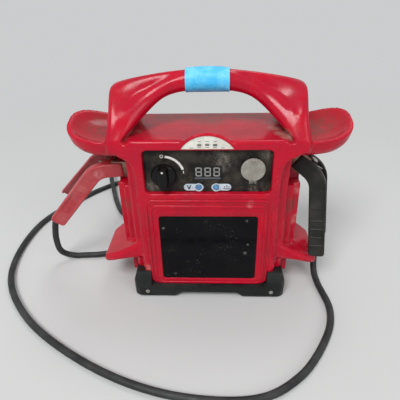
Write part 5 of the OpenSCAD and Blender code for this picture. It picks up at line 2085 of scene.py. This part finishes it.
@dataclass
class ControlPanel:
    """Black panel with its knob, display, buttons, outlet and printed marks."""

    face: float = -53
    knob_at: Pair = (-62, 213)
    knob_r: float = 18
    knob_h: float = 17
    display_at: Pair = (0, 217)
    digit: Pair = (8.8, 13.6)
    digit_pitch: float = 12.6
    digit_rise: float = 1.6
    segment: float = 1.5
    button_x: Pair = (-13, 12)
    button_z: float = 194
    plate_size: Pair = (28.4, 10.8)
    plate_shift: float = 7.2
    print_t: float = 0.12
    mark_t: float = 0.08
    arc_r: float = 28.5
    arc_turns: Pair = (84, 18)
    outlet_at: Pair = (63, 223)
    cap_r: float = 17
    cap_front: float = -58.5
    cap_back: float = -54.8
    hinge: Pair = (-56.6, 203)
    knuckle_d: float = 3.8
    hinge_bore: float = 2.16

    def plate(self, dresser: Dresser) -> None:
        """Panel plate with softened edges."""
        dresser.refine("control_panel", "panel_plate", "panel", 0.5, 3)

    def knob(self, dresser: Dresser) -> None:
        """Turned skirt with a raised bar to grip and a dot at its top.

        Args:
            dresser: Dresser of the pack.
        """
        x, z = self.knob_at
        base = self.face - 0.4
        top = base - self.knob_h
        r = self.knob_r
        profile = (
            (4.1, base), (r - 0.4, base), (r, base - 0.4), (r, base - 2.2), (r - 0.25, base - 2.7),
            (r - 1.7, base - 4.7), (r - 2.3, base - 5), (r - 6, base - 5.6), (4.1, base - 6), (4.1, base),
        )
        skirt = turned("knob_skirt", x, z, profile)
        rings: list[Ring] = []
        stages = ((base - 4.4, 8), (base - 8, 7.4), (base - 15, 6.4), (base - 16.4, 5.7), (top, 4.6))
        for y, half in stages:
            reach = r - 1.6 - max(0, (base - 14 - y) * 0.35)
            turns = [2 * math.pi * (i + 0.5) / 64 for i in range(64)]
            outline = [squircle(half, reach, 4, a) for a in turns]
            rings.append([Vector((x + q[0], y, z + q[1])) for q in outline])
        carve(skirt, loft("knob_bar", rings), Cut.ADD)
        carve(skirt, bar_y("knob_bore", x, z, 8.16, base - 10.6, base + 1))
        carve(skirt, bar_y("knob_dot_bore", x, z + r - 6, 3.2, top - 2, top + 0.8))
        skirt.name = "knob"
        soften(skirt, 0.3, 2, 40)
        dresser.fasten(skirt, "knob", "power_knob", ["power_knob"])
        dot = bar_y("knob_dot", x, z + r - 6, 3.1, top - 0.1, top + 0.9, 40)
        soften(dot, 0.2)
        dresser.fasten(dot, "button_ring", "power_knob", finish=PRINT_WHITE)

    def display(self, dresser: Dresser) -> None:
        """Smoked window with its three unlit digits.

        Args:
            dresser: Dresser of the pack.
        """
        dresser.refine("display_window", "display_cover", "display", 0.4, 3)
        x0, z0 = self.display_at
        w, h = self.digit
        y = self.face - 0.8
        t = self.segment
        bars: list[bpy.types.Object] = []
        for place in (-self.digit_pitch, 0, self.digit_pitch):
            x, z = x0 + place, z0 + self.digit_rise
            for side in (-1, 1):
                for part in (-1, 1):
                    mid = (x + side * (w / 2 - t / 2), z + part * h / 4)
                    bars.append(strip("segment", pill(*mid, t, h / 2 - 1.1, 4), y, 0.1))
            for part in (-1, 0, 1):
                bars.append(strip("segment", pill(x, z + part * (h / 2 - t / 2), w - 2.1, t, 4), y, 0.1))
        dresser.fasten(joined("digits", bars), "display", finish=DIGIT_GREY)
        lower = strip("display_strip", pill(x0, z0 - 8.2, 37, 3), y, 0.06)
        dresser.fasten(lower, "display", finish=STRIP_GREY)

    def print(self, dresser: Dresser) -> None:
        """White arc of the knob, with a ring at its start and a bar at its end.

        Args:
            dresser: Dresser of the pack.
        """
        x, z = self.knob_at
        y = self.face
        outer, inner = self.arc_r + 1.9, self.arc_r - 1.5
        first, last = self.arc_turns
        turns = [math.radians(first - (first - last) * i / 48) for i in range(49)]
        outline = [(x + outer * math.cos(a), z + outer * math.sin(a)) for a in turns]
        outline += [(x + inner * math.cos(a), z + inner * math.sin(a)) for a in reversed(turns)]
        marks = [strip("arc", outline, y)]
        front = y - self.print_t
        profile = ((1.6, y), (1.6, front), (2.5, front), (2.5, y), (1.6, y))
        ring = turned("ring", x - 1.5, z + self.arc_r + 0.6, profile, 40)
        end = math.radians(10)
        place = (x + self.arc_r * math.cos(end), z + self.arc_r * math.sin(end))
        marks += [ring, strip("bar", pill(*place, 1.1, 4.4, 4), y)]
        dresser.fasten(joined("knob_marks", marks), "panel", finish=PRINT_WHITE)

    def buttons(self, dresser: Dresser) -> None:
        """Blue buttons in their rings, each beside a printed white plate with its mark.

        Args:
            dresser: Dresser of the pack.
        """
        z = self.button_z
        y = self.face
        for name, x, way in (("voltmeter", self.button_x[0], -1), ("outlet", self.button_x[1], 1)):
            outline = pill(x + way * self.plate_shift, z, *self.plate_size, 4)
            base = strip(f"{name}_plate", outline, y, self.print_t)
            carve(base, bar_y("hole", x, z, 11, y - 2, y + 2))
            dresser.fasten(base, "button_ring")
            dresser.refine(f"{name}_switch", f"{name}_ring", "button_ring", 0.35, 3)
            button = f"{name}_button"
            dresser.refine(button, f"{name}_key", "button_blue", 0.5, 4, body=button)
        x = self.button_x[0] - 14
        top, thick = y - self.print_t, self.mark_t
        chevron = [
            (x - 3.4, z + 3.4), (x - 1.6, z + 3.4), (x, z - 1), (x + 1.6, z + 3.4), (x + 3.4, z + 3.4),
            (x + 0.9, z - 3.4), (x - 0.9, z - 3.4),
        ]
        dots = [strip("dot", pill(x + side * 5.4, z, 1.3, 1.3, 5), top, thick) for side in (-1, 1)]
        marks = [strip("chevron", chevron, top, thick), *dots]
        x = self.button_x[1] + 15
        marks.append(strip("socket", pill(x, z - 2.6, 10, 1.2, 4), top, thick))
        for off, up, high in ((0, 1.4, 4), (-3.2, 0.4, 2.4), (3.2, 0.4, 2.4)):
            marks.append(strip("pin", pill(x + off, z + up, 1.2, high, 4), top, thick))
        dresser.fasten(joined("button_marks", marks), "button_ring", finish=PRINT_BLACK)

    def outlet(self, dresser: Dresser) -> None:
        """Outlet with the cap that swings down over its hinge.

        Args:
            dresser: Dresser of the pack.
        """
        dresser.refine("outlet_socket", "outlet_barrel", "panel", 0.4, 3)
        x, z = self.outlet_at
        r, f, b = self.cap_r, self.cap_front, self.cap_back
        profile = (
            (0, b), (r - 0.5, b), (r, b - 0.5), (r, f + 1.1), (r - 0.35, f + 0.4), (r - 1.2, f),
            (r - 2.6, f + 0.1), (r - 3.2, f + 0.45), (0, f + 0.5),
        )
        cap = turned("cap", x, z, profile, 96)
        hinge_y, hinge_z = self.hinge
        carve(cap, box("tab", (x - 5, f, hinge_z), (x + 5, b, hinge_z + 9)), Cut.ADD)
        for d, length, cut in ((self.knuckle_d, 10, Cut.ADD), (self.hinge_bore, 14, Cut.TAKE)):
            carve(cap, rod("knuckle", Axis.X, (x, hinge_y, hinge_z), d, length, 40), cut)
        soften(cap, 0.25, 2, 50)
        cap.name = "outlet_cover"
        dresser.fasten(cap, "cap", "outlet_cap", ["outlet_cap"])
        dresser.refine("cap_hinge", "hinge", "panel", 0.25)

    def build(self, dresser: Dresser) -> None:
        """Makes and dresses the whole panel.

        Args:
            dresser: Dresser of the pack.
        """
        self.plate(dresser)
        self.knob(dresser)
        self.display(dresser)
        self.print(dresser)
        self.buttons(dresser)
        self.outlet(dresser)


@dataclass
class Front:
    """Status window, label, boot, feet, tape, screws, inlet and glands."""

    window_y: float = -61.6
    lamp_x: tuple[float, ...] = (-21, -10.5, 0, 10.5, 21)
    lamp_z: float = 262.4
    gland_len: float = 30
    tape_turns: tuple[tuple[float, ...], ...] = ((0.05, 2.1, -30, 30, 40), (2.0, 2.5, -28.6, 23, 6))

    def window(self, dresser: Dresser, shells: Shells) -> None:
        """White half-moon window with two rows of small lamp marks.

        Args:
            dresser: Dresser of the pack.
            shells: The shells, which have the window's outline.
        """
        front, back = self.window_y, self.window_y + 2
        window = loft("lamp_window", [shells.half_moon(0, front), shells.half_moon(0, back)])
        soften(window, 0.4, 3, 50)
        dresser.fasten(window, "window_white", stands_for=["status_window"])
        marks: list[bpy.types.Object] = []
        for i, x in enumerate(self.lamp_x):
            z = self.lamp_z - abs(i - 2) * 0.4
            if abs(i - 2) < 2:
                marks.append(strip("lamp", pill(x, z, 6.2, 3.4, 8), front, 0.1))
                marks.append(strip("line", pill(x, z + 5, 4.4, 0.8, 3), front, 0.08))
            marks.append(strip("line", pill(x, z - 3.6, 5.4, 0.9, 3), front, 0.08))
        dresser.fasten(joined("lamp_marks", marks), "window_white", finish=MARK_GREY)

    def label(self, dresser: Dresser) -> None:
        """Bare glossy label plate."""
        dresser.refine("label_plate", "label", "label", 0.25, 3)

    def boot(self, dresser: Dresser) -> None:
        """Black boot under the case, with its screws and feet.

        Args:
            dresser: Dresser of the pack.
        """
        dresser.refine("base", "boot", "boot", 1.1, 3, 25)
        dresser.refine("base_screws", "boot_screws", "steel", 0.2)
        dresser.refine("shell_screws", "case_screws", "steel", 0.2)
        dresser.refine("rubber_feet", "feet", "foot_rubber", 0.5)

    def tape(self, dresser: Dresser, handle: Handle) -> None:
        """Two turns of creased tape round the middle of the grip.

        Args:
            dresser: Dresser of the pack.
            handle: The handle.
        """
        turns: list[bpy.types.Object] = []
        for inner, outer, left, right, rear in self.tape_turns:
            band = self.grown(handle, outer)
            carve(band, box("slice", (left, -40, 300), (right, rear, 400)), Cut.KEEP)
            carve(band, self.grown(handle, inner))
            turns.append(band)
        band = joined("tape", turns)
        shade(band, 40)
        dresser.fasten(band, "tape", stands_for=["handle_tape"])

    def grown(self, handle: Handle, grow: float) -> bpy.types.Object:
        """Middle of the handle, swollen by a margin."""
        right = [handle.ring(0.6 + 0.4 * i / 16, 0, grow) for i in range(17)]
        return mirrored_loft("grown", right)

    def inlet(self, dresser: Dresser) -> None:
        """Charging inlet with its rim, and its pins."""
        dresser.refine("charge_inlet", "inlet", "boot", 0.6, 3)
        dresser.refine("inlet_pins", "inlet_blades", "brass", 0.2)

    def glands(self, dresser: Dresser, shells: Shells, paths: Sequence[list[Vector]]) -> None:
        """Tapered, ribbed strain reliefs at which the leads leave the case.

        Args:
            dresser: Dresser of the pack.
            shells: The shells, which have the glands' holes.
            paths: Centre lines of the leads.
        """
        profile = ((0, 55), (6.7, 55), (6.7, 61.02), (9, 61.02), (9, 63.2), (8.2, 64), (0, 64))
        parts: list[bpy.types.Object] = []
        for path in paths:
            line = self.near_exit(path, shells.rear)
            radii = []
            for i in range(len(line)):
                u = i / (len(line) - 1)
                groove = 0.8 * max(0.0, math.sin(2 * math.pi * u * 6)) if 0.12 < u < 0.96 else 0
                radii.append(8.4 - 2.3 * u - groove)
            parts.append(swept("relief", line, radii, 40))
            parts.append(turned("flange", line[0].x, shells.gland_z, profile))
        dresser.fasten(joined("glands", parts), "lead", stands_for=["lead_glands"])

    def near_exit(self, path: Sequence[Vector], rear: float) -> list[Vector]:
        """Points of a lead from the case outwards, close together.

        Args:
            path: Centre line of the lead, towards the case.
            rear: The case's rear face.

        Returns:
            The points.
        """
        line = [p for p in reversed(path) if p.y > rear + 0.5]
        out, walked = [Vector((line[0].x, rear + 1, line[0].z))], 0.0
        steps = 6
        for a, b in zip(line, line[1:]):
            for k in range(steps):
                point = a.lerp(b, (k + 1) / steps)
                walked += (b - a).length / steps
                if walked > self.gland_len:
                    return out
                out.append(point)
        return out

    def build(self, dresser: Dresser, shells: Shells, leads: Leads) -> None:
        """Makes and dresses the fittings of the case.

        Args:
            dresser: Dresser of the pack.
            shells: The shells.
            leads: The leads.
        """
        self.window(dresser, shells)
        self.label(dresser)
        self.boot(dresser)
        self.tape(dresser, shells.handle)
        self.inlet(dresser)
        self.glands(dresser, shells, [leads.red_path(), leads.black_path()])


def dress_rest(dresser: Dresser) -> None:
    """Gives every frame node that still shows the finish of its slot.

    Args:
        dresser: Dresser of the pack.
    """
    for part in frame["record"]["subparts"]:
        node = frame["nodes"][part["node"]]
        material = dresser.material(FINISHES[part["material_slot"]])
        if not node.material_slots:
            node.data.materials.append(material)
        for slot in node.material_slots:
            slot.material = material
        if not node.hide_render:
            LOG.info("%s keeps its solid", part["node"])


def main() -> None:
    """Builds every part of the pack in order."""
    logging.basicConfig(level=logging.INFO, format="%(name)s: %(message)s")
    dresser = Dresser()
    Studio().build()
    leads = Leads()
    leads.build(dresser)
    shells = Shells()
    shells.build(dresser)
    ControlPanel().build(dresser)
    Front().build(dresser, shells, leads)
    Clamp("red", AT_RED, RED_RELIEF).build(dresser)
    Clamp("black", AT_BLACK, BLACK_RELIEF).build(dresser)
    dress_rest(dresser)


if __name__ == "__main__":
    main()
